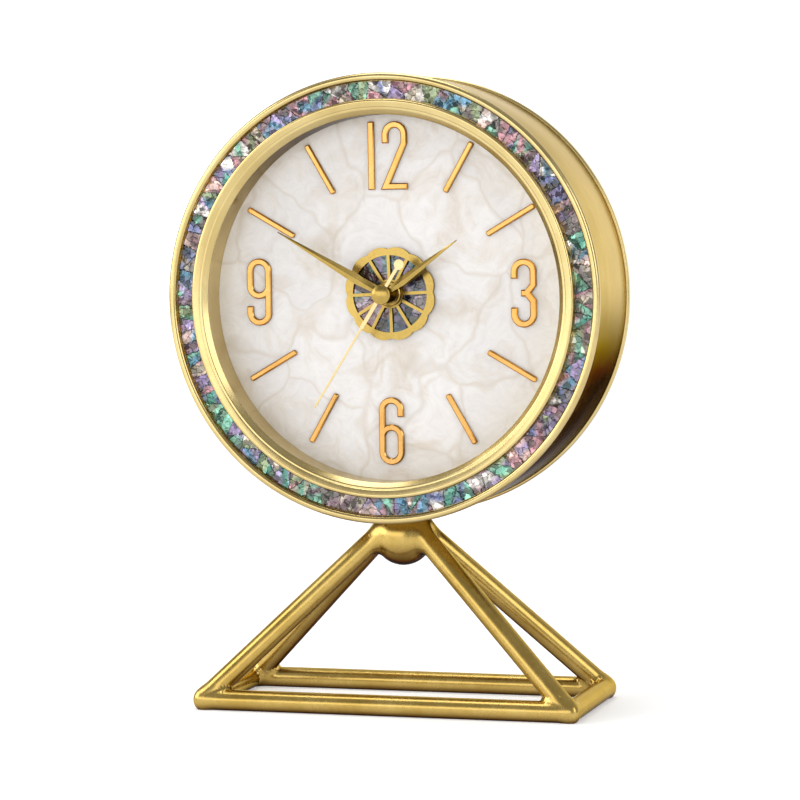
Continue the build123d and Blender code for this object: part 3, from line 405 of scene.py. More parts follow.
# Finishes of the works, each with the solids that take it.
WORKS_FINISHES = (
    # Mould-grained ABS: a dull charcoal that leaves the works quiet behind the brass.
    (Moulded("moulded_abs_black", "#1B1B1D", "#141416", 0.42),
     ("movement_case", "movement_cover", "dial_spacer")),
    # Uncoloured acetal: waxy warm white with faint flow marks.
    (Moulded("moulded_acetal_natural", "#E8E4D6", "#DCD6C6", 0.38),
     ("middle_plate", "back_plate", "hour_wheel", "motion_wheel", "centre_wheel", "third_wheel",
      "second_wheel", "fifth_wheel", "setting_knob")),
    # Rubber: near black with no shine at all.
    (Moulded("moulded_rubber_black", "#161616", "#0F0F0F", 0.7), ("rubber_washer",)),
    # Lacquered fibreglass: deep green with a slight gloss over the weave.
    (Moulded("fibreglass_board_green", "#1F5B38", "#174A2C", 0.3, 0.8), ("circuit_board",)),
    # Shrunk film: slate grey with a tight soft gloss.
    (Moulded("shrink_wrap_grey", "#3A3D44", "#2E3036", 0.25, 0.6), ("battery",)),
    # Nickel plate: bright warm grey, the shiniest metal of the works.
    (PlainMetal("nickel_plated_spring_steel", "#CFCBC2", "#B9B4A9", 0.2),
     ("positive_contact", "negative_contact", "quartz_crystal")),
    # Enamelled wire: reddish brown with a line for every turn.
    (PlainMetal("enamelled_copper_wire", "#C0703F", "#9A5228", 0.28, 0.15), ("coil",)),
    # Sintered magnet: dull dark grey.
    (PlainMetal("sintered_magnet_plated", "#6E6E72", "#5C5C60", 0.35), ("rotor",)),
    # Rolled sheet: pale cool grey with lines along the roll.
    (PlainMetal("rolled_aluminium_sheet", "#C8C9CB", "#B4B5B8", 0.36), ("dial_backing",)),
)


@dataclass(frozen=True)
class Finishes:
    """The materials that the groups of pieces share, each built once."""

    case: Material = field(default_factory=CASE_BRASS.material)
    rings: Material = field(default_factory=RING_BRASS.material)
    stand: Material = field(default_factory=STAND_BRASS.material)
    marks: Material = field(default_factory=MARK_BRASS.material)
    hands: Material = field(default_factory=HAND_BRASS.material)
    pale: Material = field(default_factory=PALE_BRASS.material)
    shell: Material = field(default_factory=ShellChips().material)
    pearl: Material = field(default_factory=PearlVeneer().material)
    steel: Material = field(default_factory=ZINC_PLATE.material)


def grid_mesh(name: str, points: Array, sharp_degrees: float = 40.0, rows_close: bool = False,
              columns_close: bool = True, flip: bool = False, poles: bool = False) -> bpy.types.Object:
    """Put a grid of points into a new object with smooth shading.

    Formula: the face at (row, column) joins the points at (row, column),
    (row, column + 1), (row + 1, column + 1) and (row + 1, column), counted
    round where the grid closes on itself.

    Args:
        name: the piece's name.
        points: R by C by 3 places in millimetres, in the clock's frame.
        sharp_degrees: edges that bend more than this stay sharp.
        rows_close: whether the last row joins the first.
        columns_close: whether the last column joins the first.
        flip: whether the faces are turned over.
        poles: whether points that meet in one place are merged.

    Returns:
        The new object, linked to the scene, with its place in its mesh.
    """
    rows, columns = points.shape[:2]
    row = np.arange(rows if rows_close else rows - 1)[:, None]
    column = np.arange(columns if columns_close else columns - 1)[None, :]
    next_row = (row + 1) % rows
    next_column = (column + 1) % columns
    corners = (row * columns + column, row * columns + next_column,
               next_row * columns + next_column, next_row * columns + column)
    faces = np.stack(corners[::-1] if flip else corners, axis=-1).reshape(-1, 4)
    mesh = bpy.data.meshes.new(name)
    mesh.vertices.add(rows * columns)
    mesh.vertices.foreach_set("co", (points * MM).astype(np.float32).ravel())
    mesh.loops.add(faces.size)
    mesh.loops.foreach_set("vertex_index", faces.astype(np.int32).ravel())
    mesh.polygons.add(len(faces))
    mesh.polygons.foreach_set("loop_start", np.arange(0, faces.size, 4, dtype=np.int32))
    mesh.update(calc_edges=True)
    if poles:
        net = bmesh.new()
        net.from_mesh(mesh)
        bmesh.ops.remove_doubles(net, verts=net.verts, dist=POLE_GAP * MM)
        net.to_mesh(mesh)
        net.free()
    mesh.polygons.foreach_set("use_smooth", np.ones(len(mesh.polygons), dtype=bool))
    mesh.set_sharp_from_angle(angle=math.radians(sharp_degrees))
    piece = bpy.data.objects.new(name, mesh)
    bpy.context.scene.collection.objects.link(piece)
    return piece


def rounded(corners: list[Triple], steps: int = 7) -> Array:
    """Round the corners of a closed outline with tangent arcs.

    Formula: an arc of the asked radius starts and ends at radius divided by
    the tangent of half the corner's angle from the corner, and its centre is
    on the corner's bisector at radius divided by the sine of that half angle.

    Args:
        corners: radius from the axis, y and rounding of each corner, in order.
        steps: points of each arc.

    Returns:
        N by 2 points of the outline.
    """
    places = np.array(corners)[:, :2]
    before = np.roll(places, 1, axis=0) - places
    after = np.roll(places, -1, axis=0) - places
    outline = []
    for place, back, ahead, radius in zip(places, before, after, np.array(corners)[:, 2]):
        if radius == 0:
            outline.append(place[None, :])
            continue
        back = back / np.linalg.norm(back)
        ahead = ahead / np.linalg.norm(ahead)
        half = math.acos(float(np.clip(back @ ahead, -1, 1))) / 2
        bisector = (back + ahead) / np.linalg.norm(back + ahead)
        centre = place + bisector * radius / math.sin(half)
        start = place + back * radius / math.tan(half) - centre
        end = place + ahead * radius / math.tan(half) - centre
        share = np.linspace(0, 1, steps)[:, None]
        turn = math.pi - 2 * half
        arc = (np.sin((1 - share) * turn) * start + np.sin(share * turn) * end) / math.sin(turn)
        outline.append(centre + arc)
    return np.concatenate(outline)


def full_turn(count: int) -> Array:
    """Give even angles round a circle, from zero."""
    return np.linspace(0, 2 * math.pi, count, endpoint=False)


def turned(name: str, outline: Array, axis_height: float = CASE_AXIS, segments: int = 384,
           poles: bool = False) -> bpy.types.Object:
    """Turn a closed outline about an axis that runs from front to back.

    Formula: a point of the outline at radius r and depth y, turned by an
    angle, lies at x = r sin(angle), y, z = axis height + r cos(angle).

    Args:
        name: the piece's name.
        outline: N by 2 radii and depths, in millimetres.
        axis_height: height of the axis, in millimetres.
        segments: columns round the axis.
        poles: whether the outline starts and ends on the axis.

    Returns:
        The new object, with its faces outwards.
    """
    radius, depth = outline[:, 0], outline[:, 1]
    area = np.sum(radius * np.roll(depth, -1) - np.roll(radius, -1) * depth) / 2
    if area < 0:
        radius, depth = radius[::-1], depth[::-1]
    angle = full_turn(segments)
    x = radius[:, None] * np.sin(angle)
    y = np.repeat(depth[:, None], segments, axis=1)
    z = axis_height + radius[:, None] * np.cos(angle)
    return grid_mesh(name, np.stack((x, y, z), axis=-1), rows_close=not poles, poles=poles)


def place_piece(piece: bpy.types.Object, material: Material, node: str,
                body: str = "clock") -> None:
    """Dress a new piece and tie it to the frame.

    Args:
        piece: the new object.
        material: its finish.
        node: the solid that it stands for.
        body: the body that it rides on.
    """
    piece.data.materials.append(material)
    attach(piece, body)
    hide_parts(node)
    LOG.info("made %s with %d faces", piece.name, len(piece.data.polygons))


def dress(material: Material, *nodes: str) -> None:
    """Give solids of the frame a finish.

    Args:
        material: the finish.
        nodes: the solids' names.
    """
    for node in nodes:
        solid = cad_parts[node]
        for held in solid.material_slots:
            held.material = material
        LOG.info("dressed %s in %s", node, material.name)


def ring_size(node: str) -> Triple:
    """Read a round solid's outer radius and its front and back depth, in millimetres."""
    low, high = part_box(node)
    return (high.x - low.x) / 2 / MM, low.y / MM, high.y / MM


@dataclass
class ChipField:
    """Shell chips laid side by side, as a height and a colour over a flat strip.

    Lengths are in millimetres. Along is the distance along the strip, which
    may close on itself, and across is the distance over its width.
    """

    COLOUR = "chip_colour"
    CREASE_DEGREES = 9.0
    PALETTE = ("#3F8F80", "#74B49E", "#4F84A4", "#5C6392", "#84709E", "#A48EBC", "#B77F8C", "#8C5F6E",
               "#84906C", "#BDAF9E", "#F3EAE6", "#6B4A5C", "#76686C", "#DDB9B4")

    length: float
    width: float
    chip: float = 5.3
    facet: float = 2.2
    crack: float = 0.26
    relief: float = 0.55
    seed: int = 11
    scatter: float = 0.42
    waver: float = 0.15
    chip_tilt: float = 0.055
    facet_tilt: float = 0.32
    facet_light: tuple[float, float] = (0.25, 1.35)
    crack_light: float = 0.05
    crack_height: float = 0.25

    def seeds(self, spacing: float, rng: np.random.Generator) -> Array:
        """Scatter one point in each square of a loose grid.

        Args:
            spacing: size of a square.
            rng: the source of chance.

        Returns:
            N by 2 points.
        """
        columns = max(3, round(self.length / spacing))
        rows = max(1, round(self.width / spacing))
        along, across = np.meshgrid(np.arange(columns) + 0.5, np.arange(rows) + 0.5)
        square = (self.length / columns, self.width / rows)
        points = np.stack((along.ravel() / columns * self.length,
                           across.ravel() / rows * self.width), axis=-1)
        points += rng.uniform(-self.scatter, self.scatter, points.shape) * square
        return points

    def nearest(self, along: Array, across: Array, points: Array) -> tuple[Array, Array, Array]:
        """Find each place's nearest point and how far the border with the next one is.

        Formula: the border's distance is half the difference between the
        distances to the second nearest and the nearest point.

        Args:
            along: places along the strip.
            across: places over its width.
            points: the scattered points.

        Returns:
            The nearest point's number, the border's distance and the offset from the point.
        """
        step = along[:, None] - points[None, :, 0]
        step -= self.length * np.round(step / self.length)
        rise = across[:, None] - points[None, :, 1]
        far = np.hypot(step, rise)
        order = np.argpartition(far, 1, axis=1)[:, :2]
        row = np.arange(len(along))
        first, second = order[:, 0], order[:, 1]
        border = (far[row, second] - far[row, first]) / 2
        return first, np.abs(border), np.stack((step[row, first], rise[row, first]), axis=-1)

    def surface(self, along: Array, across: Array) -> tuple[Array, Array]:
        """Work out the chips' height and colour.

        Formula: a chip is a tilted plane, broken into smaller tilted facets,
        and drops off smoothly within a crack's width of its border. The crack
        opens and closes as the square of a sine along the strip. The sines run
        in whole waves along the strip, so that it can close on itself.

        Args:
            along: places along the strip.
            across: places over its width.

        Returns:
            Heights above the bed and N by 4 linear colours.
        """
        rng = np.random.default_rng(self.seed)
        wave = 2 * math.pi / self.length
        bent_along = along + self.waver * np.sin(across * 2.1 + np.sin(along * 9 * wave) * 3)
        bent_across = across + self.waver * np.sin(along * 97 * wave + across)
        chips = self.seeds(self.chip, rng)
        chip, border, offset = self.nearest(bent_along, bent_across, chips)
        facets = self.seeds(self.facet, rng)
        facet, _, lean = self.nearest(bent_along, bent_across, facets)
        tilt = rng.uniform(-self.chip_tilt, self.chip_tilt, (len(chips), 2))
        facet_tilt = rng.uniform(-self.facet_tilt, self.facet_tilt, (len(facets), 2))
        height = 0.62 * self.relief + np.sum(tilt[chip] * offset, axis=1)
        height += np.sum(facet_tilt[facet] * lean, axis=1) * 0.9
        gape = self.crack * (0.3 + np.sin(along * 131 * wave + across * 1.7) ** 2)
        edge = np.clip(border / gape, 0, 1)
        edge = edge * edge * (3 - 2 * edge)
        palette = np.array([linear(code) for code in self.PALETTE])
        main = palette[rng.integers(0, len(palette), len(chips))]
        second = palette[rng.integers(0, len(palette), len(chips))]
        heading = rng.uniform(0, math.pi, len(chips))
        run = offset[:, 0] * np.cos(heading[chip]) + offset[:, 1] * np.sin(heading[chip])
        mix = 0.5 + 0.5 * np.sin(run * 0.8 + rng.uniform(0, 6, len(chips))[chip])
        mix = (mix ** 1.5)[:, None]
        glow = rng.uniform(*self.facet_light, len(facets))[facet][:, None]
        shown = self.crack_light + (1 - self.crack_light) * edge[:, None]
        colour = (main[chip] * (1 - mix) + second[chip] * mix) * glow * shown
        colour = np.clip(colour, 0, 1)
        colour[:, 3] = 1
        shoulder = self.crack_height + (1 - self.crack_height) * edge
        return np.clip(height, 0.1, self.relief * 1.6) * shoulder, colour


def lay_chips(name: str, node: str, shell: Material, angle: Array, radius: Array, depth: Array,
              colour: Array, bed: float, axis_height: float) -> None:
    """Make one piece of a polar grid of chips, closed at its edges and its back.

    Args:
        name: the piece's name.
        node: the solid that it stands for.
        shell: its finish.
        angle: C angles round the axis.
        radius: R by C radii.
        depth: R by C depths of the chips' faces.
        colour: a linear colour for each point of the grid.
        bed: depth of the back.
        axis_height: height of the axis.
    """
    foot = np.full((1, len(angle)), bed)
    colour = colour.reshape(*radius.shape, 4)
    colour = np.concatenate((colour[:1], colour, colour[-1:]))
    radius = np.concatenate((radius[:1], radius, radius[-1:]))
    depth = np.concatenate((foot, depth, foot))
    points = np.stack((radius * np.sin(angle), depth, axis_height + radius * np.cos(angle)), axis=-1)
    piece = grid_mesh(name, points, ChipField.CREASE_DEGREES, rows_close=True, flip=True)
    layer = piece.data.color_attributes.new(ChipField.COLOUR, "FLOAT_COLOR", "POINT")
    layer.data.foreach_set("color", colour.astype(np.float32).ravel())
    place_piece(piece, shell, node)


@dataclass
class Drum:
    """The round case: band, beads at both edges and the back cover."""

    finishes: Finishes
    bead_radius: float = 1.8
    bead_foot: float = 2.4
    wall: float = 1.2
    edge_round: float = 0.25
    back_inset: float = 1.2
    back_round: float = 1.0

    def front_bead(self) -> None:
        """Turn the round bead on its narrow foot.

        Formula: the bead is a circle, cut off where the foot's two sides meet it.
        """
        radius, front, back = ring_size("front_rim")
        middle = radius - self.bead_radius
        depth = front + self.bead_radius
        half_foot = self.bead_foot / 2
        meet = math.asin(half_foot / self.bead_radius)
        angle = np.linspace(meet, 2 * math.pi - meet, 40)
        circle = np.stack((middle + self.bead_radius * np.sin(angle),
                           depth + self.bead_radius * np.cos(angle)), axis=-1)
        foot = np.array(((middle - half_foot, back), (middle + half_foot, back)))
        place_piece(turned("front_bead", np.concatenate((circle, foot))), self.finishes.rings, "front_rim")

    def band(self) -> None:
        """Turn the band's wall with broken edges."""
        radius, front, back = ring_size("case_band")
        inner = radius - self.wall
        corners = [(radius, front, self.edge_round), (radius, back, self.edge_round),
                   (inner, back, self.edge_round), (inner, front, self.edge_round)]
        place_piece(turned("drum_band", rounded(corners)), self.finishes.case, "case_band")

    def back_bead(self) -> None:
        """Turn the rounded bead that caps the back edge of the drum, with a lip inside the band."""
        radius, front, back = ring_size("back_rim")
        seat = radius - self.back_inset
        lip = seat - self.wall
        lip_front = (front + back) / 2
        corners = [(radius, front, self.back_round), (radius, back, self.back_round), (lip, back, 0.3),
                   (lip, lip_front, 0.1), (seat, lip_front, 0.0), (seat, front, 0.1)]
        place_piece(turned("back_bead", rounded(corners)), self.finishes.rings, "back_rim")

    def build(self) -> None:
        """Make the drum's pieces and dress its solids."""
        self.front_bead()
        self.band()
        self.back_bead()
        dress(self.finishes.case, "front_flange", "back_cover")
        dress(self.finishes.steel, "cover_lugs", "cover_screws", "dial_clips")


@dataclass
class FrontRing:
    """The ring of shell chips and the brass moulding inside it."""

    finishes: Finishes
    bed: float = -27.5
    sleeve_inset: float = 0.35
    sleeve_wall: float = 1.8
    moulding_width: float = 7.0
    # Corners of the moulding's face: how far in from its outer edge, fall from its crest, rounding.
    face: tuple[Triple, ...] = ((0.0, 0.0, 1.2), (3.5, 1.05, 0.6), (3.8, 1.35, 0.25), (4.7, 1.5, 1.2))
    chip_inner: float = 88.65
    chip_bed: float = 0.35
    chip_columns: int = 2304
    chip_rows: int = 26

    def moulding(self) -> None:
        """Turn the moulding: a broad band, a small step, a second round and a slope to the mouth."""
        outer, crest, back = ring_size("inner_bezel")
        mouth = outer - self.moulding_width
        mouth_front = self.bed - (self.bed - crest) / 3
        sleeve = mouth + self.sleeve_inset
        sleeve_outer = sleeve + self.sleeve_wall
        face = [(outer - inwards, crest + fall, rounding) for inwards, fall, rounding in self.face]
        corners = [(sleeve_outer, back, 0.0), (sleeve_outer, self.bed, 0.0), (outer, self.bed, 0.0), *face,
                   (mouth, mouth_front, 0.35), (sleeve, self.bed, 0.3), (sleeve, back, 0.0)]
        place_piece(turned("inner_moulding", rounded(corners, 11)), self.finishes.rings, "inner_bezel")

    def chips(self) -> None:
        """Lay the ring of shell chips.

        Formula: column and row give an angle and a radius, and the chip field
        gives the height over the bed.
        """
        outer = ring_size("shell_inlay")[0]
        middle = (outer + self.chip_inner) / 2
        strip = ChipField(2 * math.pi * middle, outer - self.chip_inner)
        angle = full_turn(self.chip_columns)
        across = np.linspace(0, outer - self.chip_inner, self.chip_rows)
        along_grid, across_grid = np.meshgrid(angle * middle, across)
        height, colour = strip.surface(along_grid.ravel(), across_grid.ravel())
        depth = self.bed - self.chip_bed - height.reshape(across_grid.shape)
        lay_chips("shell_chip_ring", "shell_inlay", self.finishes.shell, angle,
                  self.chip_inner + across_grid, depth, colour, self.bed, CASE_AXIS)

    def build(self) -> None:
        """Make both rings."""
        self.moulding()
        self.chips()


@dataclass
class Dial:
    """The pearl dial with its marks and the pierced rosette over shell."""

    finishes: Finishes
    rings: int = 60
    columns: int = 360
    shell_inner: float = 4.1
    shell_relief: float = 0.3
    # Purple tint of the shell, with a painted shadow of the rosette that dims it to about a third.
    tint_and_painted_shadow: Colour = (0.34, 0.28, 0.36, 1.0)

    def shell_disc(self) -> None:
        """Lay the disc of shell behind the rosette's windows.

        Formula: a polar grid over a square chip field, which gives its height and
        its colour, tinted purple and dimmed by a painted shadow of the rosette.
        """
        outer, front, back = ring_size("shell_disc")
        angle = full_turn(self.columns)
        turn, radius = np.meshgrid(angle, np.linspace(self.shell_inner, outer, self.rings))
        strip = ChipField(2 * outer, 2 * outer, chip=8.5, facet=3.0, seed=5)
        height, colour = strip.surface((outer + radius * np.sin(turn)).ravel(),
                                       (outer + radius * np.cos(turn)).ravel())
        relief = self.shell_relief * np.clip(height, 0, 1).reshape(turn.shape)
        depth = front + self.shell_relief - relief
        lay_chips("shell_chip_disc", "shell_disc", self.finishes.shell, angle, radius, depth,
                  colour * self.tint_and_painted_shadow, back, DIAL_AXIS)

    def build(self) -> None:
        """Dress the dial and lay the shell behind the rosette."""
        dress(self.finishes.pearl, "pearl_dial")
        dress(self.finishes.marks, "hour_batons", "numeral_12", "numeral_3", "numeral_6", "numeral_9")
        dress(self.finishes.hands, "rosette")
        self.shell_disc()


@dataclass
class Stand:
    """Welded rods: four legs from a rectangle of bars up to a ball."""

    finishes: Finishes
    rod_radius: float = 4.75
    drum_radius: float = 98.8
    drum_gap: float = 0.02
    half_width: float = 85.3
    half_depth: float = 34.2
    base_height: float = 4.5
    ball_radius: float = 13.5
    ball_height: float = 77.0
    leg_aim: float = 87.8
    leg_share: float = 0.93
    corner_weld: float = 2.6
    ball_weld: float = 4.2
    rod_reach: float = 3.2
    ball_reach: float = 3.5
    around: int = 56
    row_length: float = 1.1
    tip_rows: int = 10
    walk_steps: int = 48
    walk_share: float = 0.8
    crease_degrees: float = 60.0

    def corner(self, side: int, end: int) -> Array:
        """Give the middle of a corner of the base."""
        return np.array((side * self.half_width, end * self.half_depth, self.base_height))

    def rods(self) -> dict[str, tuple[Array, Array]]:
        """List the rods' axes.

        Returns:
            The name of each solid and the two ends of its axis.
        """
        top = np.array((0.0, 0.0, self.leg_aim))
        bars = (("front", (-1, -1), (1, -1)), ("back", (-1, 1), (1, 1)),
                ("left", (-1, -1), (-1, 1)), ("right", (1, -1), (1, 1)))
        axes = {f"{name}_bar": (self.corner(*one), self.corner(*other)) for name, one, other in bars}
        for end, depth_name in ((-1, "front"), (1, "back")):
            for side, side_name in ((-1, "left"), (1, "right")):
                foot = self.corner(side, end)
                axes[f"leg_{depth_name}_{side_name}"] = (foot, foot + (top - foot) * self.leg_share)
        return axes

    def distance(self, points: Array) -> Array:
        """Give the signed distance to the welded stand, negative inside.

        Formula: the distance to a rod is the distance to its axis less its
        radius. Two distances a and b join as their lesser one less the square
        of (weld - |a - b|), where that is positive, over four times the weld,
        which leaves a fillet. Near the base's outer sides the fillet fades to
        nothing. The ground below and the drum above cut the stand off.

        Args:
            points: N by 3 places.

        Returns:
            N distances.
        """
        sides = np.array((self.half_width + self.rod_radius, self.half_depth + self.rod_radius))
        inside = np.min(np.clip((sides - np.abs(points[:, :2])) / self.rod_radius, 0, 1), axis=1)

        def joined(one: Array, other: Array, weld: float) -> Array:
            near = np.clip(weld - np.abs(one - other), 0, None)
            return np.minimum(one, other) - inside * near * near / (4 * weld)

        welded = None
        for start, end in self.rods().values():
            along = end - start
            share = np.clip((points - start) @ along / (along @ along), 0, 1)
            rod = np.linalg.norm(points - start - share[:, None] * along, axis=1) - self.rod_radius
            welded = rod if welded is None else joined(welded, rod, self.corner_weld)
        ball = np.linalg.norm(points - (0, 0, self.ball_height), axis=1) - self.ball_radius
        whole = joined(welded, ball, self.ball_weld)
        drum = self.drum_radius + self.drum_gap - np.hypot(points[:, 0], points[:, 2] - CASE_AXIS)
        return np.maximum(np.maximum(whole, drum), -points[:, 2])

    def reach(self, origins: Array, headings: Array, limit: float) -> Array:
        """Walk outwards from inside the stand to its surface.

        Formula: each step is a share of the distance to the surface, so the walk
        ends where that is zero, or at the limit, inside another rod.

        Args:
            origins: N by 3 starting places.
            headings: N by 3 unit directions.
            limit: the longest walk.

        Returns:
            N by 3 places on the surface.
        """
        walked = np.zeros(len(origins))
        for _ in range(self.walk_steps):
            step = -self.distance(origins + headings * walked[:, None])
            walked = np.clip(walked + self.walk_share * step, 0, limit)
        return origins + headings * walked[:, None]

    def rod(self, name: str, start: Array, end: Array) -> None:
        """Make one rod with round ends and its share of the welds.

        Formula: rows run along the axis, and at each end they swing from
        across the axis to along it, so that the two poles close the rod.

        Args:
            name: the solid that the rod stands for.
            start: one end of its axis.
            end: the other end.
        """
        length = float(np.linalg.norm(end - start))
        axis = (end - start) / length
        side = np.cross(axis, (0.0, 0.0, 1.0) if abs(axis[2]) < 0.9 else (1.0, 0.0, 0.0))
        side /= np.linalg.norm(side)
        other = np.cross(axis, side)
        swing = np.radians(np.linspace(0, 90, self.tip_rows))
        body_rows = max(40, round(length / self.row_length))
        still = np.zeros(self.tip_rows - 1)
        at = np.concatenate((still, np.linspace(0, 1, body_rows), still + 1)) * length
        tip = np.concatenate((-np.cos(swing[:-1]), np.zeros(body_rows), np.cos(swing[-2::-1])))
        out = np.sqrt(1 - tip * tip)
        around = full_turn(self.around)
        ring = np.cos(around)[:, None] * side + np.sin(around)[:, None] * other
        headings = out[:, None, None] * ring[None, :, :] + (tip[:, None] * axis)[:, None, :]
        origins = np.repeat((start + at[:, None] * axis)[:, None, :], self.around, axis=1)
        limit = self.rod_radius + self.rod_reach
        points = self.reach(origins.reshape(-1, 3), headings.reshape(-1, 3), limit)
        piece = grid_mesh(name + "_rod", points.reshape(headings.shape), self.crease_degrees, poles=True)
        place_piece(piece, self.finishes.stand, name)

    def ball(self) -> None:
        """Make the ball with its share of the welds, cut off under the drum.

        Formula: a grid of longitude and latitude, walked out from the centre.
        """
        rows, columns = 97, 144
        lift = np.radians(np.linspace(-90, 90, rows))[:, None]
        turn = full_turn(columns)
        headings = np.stack((np.cos(lift) * np.cos(turn), np.cos(lift) * np.sin(turn),
                             np.repeat(np.sin(lift), columns, axis=1)), axis=-1).reshape(-1, 3)
        origins = np.repeat(np.array(((0.0, 0.0, self.ball_height),)), len(headings), axis=0)
        points = self.reach(origins, headings, self.ball_radius + self.ball_reach)
        piece = grid_mesh("ball_joint", points.reshape(rows, columns, 3), self.crease_degrees, poles=True)
        place_piece(piece, self.finishes.stand, "stand_ball")

    def build(self) -> None:
        """Make the rods and the ball, and dress the bolt and its washer."""
        for name, (start, end) in self.rods().items():
            self.rod(name, start, end)
        self.ball()
        dress(self.finishes.steel, "stand_bolt", "saddle_washer")


@dataclass
class Works:
    """Hands, movement and what holds them."""

    finishes: Finishes
    cap_dome: float = 1.0
    cap_edge: float = 0.35

    def cap(self) -> None:
        """Turn the domed cap in the middle of the hands.

        Formula: the front falls back from the axis by the dome's height times
        the square of the radius over the cap's radius, then the rim is round.
        """
        radius, front, back = ring_size("second_cap")
        run = np.linspace(0, radius - self.cap_edge, 14)
        dome = np.stack((run, front + self.cap_dome * (run / radius) ** 2), axis=-1)
        turn = np.linspace(0, math.pi / 2, 7)
        rim = np.stack((radius - self.cap_edge + self.cap_edge * np.sin(turn),
                        dome[-1, 1] + self.cap_edge * (1 - np.cos(turn))), axis=-1)
        outline = np.concatenate((dome, rim[1:], ((radius, back), (0.0, back))))
        piece = turned("domed_cap", outline, DIAL_AXIS, 96, poles=True)
        place_piece(piece, self.finishes.hands, "second_cap", body="second_arbor")

    def build(self) -> None:
        """Make the cap and dress the hands and the movement."""
        self.cap()
        dress(self.finishes.hands, "hour_hand", "minute_hand", "minute_nut", "bushing", "bushing_washer",
              "bushing_nut", "cannon_pinion")
        dress(self.finishes.pale, "second_hand")
        dress(self.finishes.steel, "stator")
        for finish, nodes in WORKS_FINISHES:
            dress(finish.material(), *nodes)


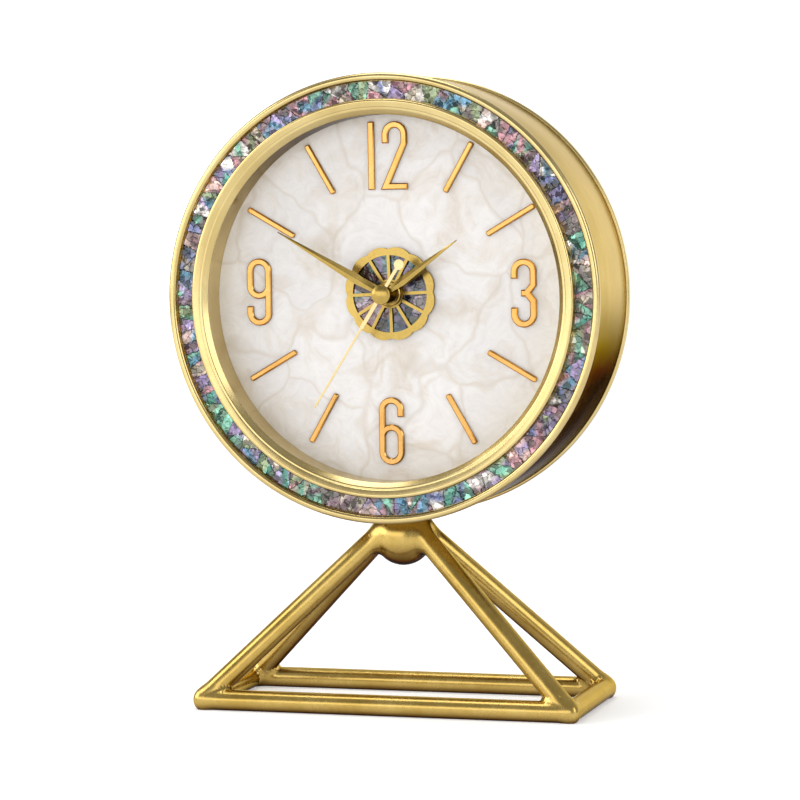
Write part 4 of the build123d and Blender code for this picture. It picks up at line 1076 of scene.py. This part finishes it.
@dataclass
class Studio:
    """Camera, pale floor and soft lights."""

    azimuth_deg: float = 17.226
    elevation_deg: float = 3.892
    roll_deg: float = -0.853
    lens_mm: float = 137.685
    sensor_mm: float = 36.0
    place_mm: Triple = (408.6, -1320.4, 232.6)
    floor_m: float = 8.0
    bend_m: float = 2.0
    bend_radius_m: float = 1.2
    floor_glow: float = 0.36
    backdrop_glow: float = 0.85
    backdrop_fall: float = 0.5
    front_rise: float = 0.6
    room_dim: float = 0.34
    room_pale: float = 0.5
    lamp_aim_m: float = 0.16

    def camera(self) -> None:
        """Set the camera where the photograph was taken from.

        Formula: azimuth and elevation turn the line of sight, and the roll
        turns right and up about it.
        """
        azimuth, elevation, roll = (math.radians(value) for value in
                                    (self.azimuth_deg, self.elevation_deg, self.roll_deg))
        back = Vector((math.sin(azimuth) * math.cos(elevation), -math.cos(azimuth) * math.cos(elevation),
                       math.sin(elevation)))
        right = Vector((math.cos(azimuth), math.sin(azimuth), 0))
        up = back.cross(right)
        rolled_right = right * math.cos(roll) + up * math.sin(roll)
        rolled_up = up * math.cos(roll) - right * math.sin(roll)
        data = bpy.data.cameras.new("photo_camera")
        data.lens = self.lens_mm
        data.sensor_width = self.sensor_mm
        camera = bpy.data.objects.new("photo_camera", data)
        turn = Matrix((rolled_right, rolled_up, back)).transposed().to_4x4()
        camera.matrix_world = Matrix.Translation(Vector(self.place_mm) * MM) @ turn
        bpy.context.scene.collection.objects.link(camera)
        bpy.context.scene.camera = camera

    def floor(self) -> None:
        """Lay the pale floor, which curves up to a backdrop far behind.

        Formula: flat up to the bend, then a quarter circle, then upright.
        """
        angle = np.linspace(0, math.pi / 2, 24)
        bend, radius = self.bend_m, self.bend_radius_m
        run = np.concatenate(((-self.floor_m, 0.0), bend + radius * np.sin(angle), (bend + radius,)))
        rise = np.concatenate(((0.0, 0.0), radius - radius * np.cos(angle), (self.floor_m / 2,)))
        across = np.array((-self.floor_m / 2, self.floor_m / 2))
        points = np.stack(np.broadcast_arrays(across[None, :], run[:, None], rise[:, None]), axis=-1)
        sheet = grid_mesh("studio_floor", points / MM, columns_close=False, flip=True)
        # Matt paper: no gloss, so only the clock's soft shadow marks it.
        material, net, shader = blank("matt_paper_white")
        paths = net.add("ShaderNodeLightPath")
        seen = net.maths("MAXIMUM", paths.outputs["Is Camera Ray"], paths.outputs["Is Glossy Ray"])
        seen = net.maths("MAXIMUM", seen, paths.outputs["Is Transmission Ray"])
        # It glows least under the clock, where the lamps reach it, and most at the foot of the backdrop.
        _, depth, height = net.split(net.place())
        behind = net.spread(depth, 0.5, 2.6, self.floor_glow, self.backdrop_glow)
        above = net.spread(height, 0.75, 1.7, high=self.backdrop_fall)
        ahead = net.spread(depth, -0.9, -2.2, high=self.front_rise)
        glow = net.maths("ADD", net.maths("SUBTRACT", behind, above), ahead)
        net.feed(shader, {
            "Emission Strength": net.maths("MULTIPLY", seen, glow),
            "Emission Color": linear("#FFFFFF"),
            "Base Color": linear("#F4F4F4"),
            "Roughness": 0.9,
            "Specular IOR Level": 0.1,
        })
        sheet.data.materials.append(material)

    def lamp(self, name: str, place: Triple, size: tuple[float, float], watts: float) -> None:
        """Hang one soft box that faces the clock.

        Args:
            name: the lamp's name.
            place: its place in metres.
            size: its width and height in metres.
            watts: its strength.
        """
        data = bpy.data.lights.new(name, "AREA")
        data.shape = "RECTANGLE"
        data.size, data.size_y = size
        data.energy = watts
        lamp = bpy.data.objects.new(name, data)
        lamp.location = place
        sight = Vector((0, 0, self.lamp_aim_m)) - Vector(place)
        lamp.rotation_euler = sight.to_track_quat("-Z", "Y").to_euler()
        bpy.context.scene.collection.objects.link(lamp)

    def world(self) -> None:
        """Fill the room with a plain soft grey, dim behind the camera and pale behind the clock."""
        world = bpy.data.worlds.new("studio_room")
        world.use_nodes = True
        net = Net(world.node_tree)
        net.tree.nodes.clear()
        _, depth, _ = net.split(net.add("ShaderNodeTexCoord").outputs["Generated"])
        grey = net.spread(depth, -0.8, 0.6, self.room_dim, self.room_pale)
        shade = net.add("ShaderNodeBackground", {0: linear("#FFFFFF"), 1: grey})
        net.add("ShaderNodeOutputWorld", {0: shade.outputs[0]})
        bpy.context.scene.world = world

    def build(self) -> None:
        """Set up the camera, the floor, the lamps and the room."""
        self.camera()
        self.floor()
        self.lamp("key_softbox", (-1.45, -0.6, 0.8), (0.9, 1.3), 13.5)
        self.lamp("front_softbox", (-0.6, -2.1, 0.47), (3.0, 0.74), 13.5)
        self.lamp("side_softbox", (1.5, -0.7, 0.7), (0.9, 1.0), 6.5)
        self.lamp("top_softbox", (-0.2, 0.1, 1.7), (1.2, 0.7), 10.0)
        self.world()
        bpy.context.scene.view_settings.view_transform = "Standard"


def main() -> None:
    logging.basicConfig(level=logging.INFO, format="%(name)s: %(message)s")
    Studio().build()
    finishes = Finishes()
    for group in (Drum, FrontRing, Dial, Works, Stand):
        group(finishes).build()
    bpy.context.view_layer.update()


if __name__ == "__main__":
    main()
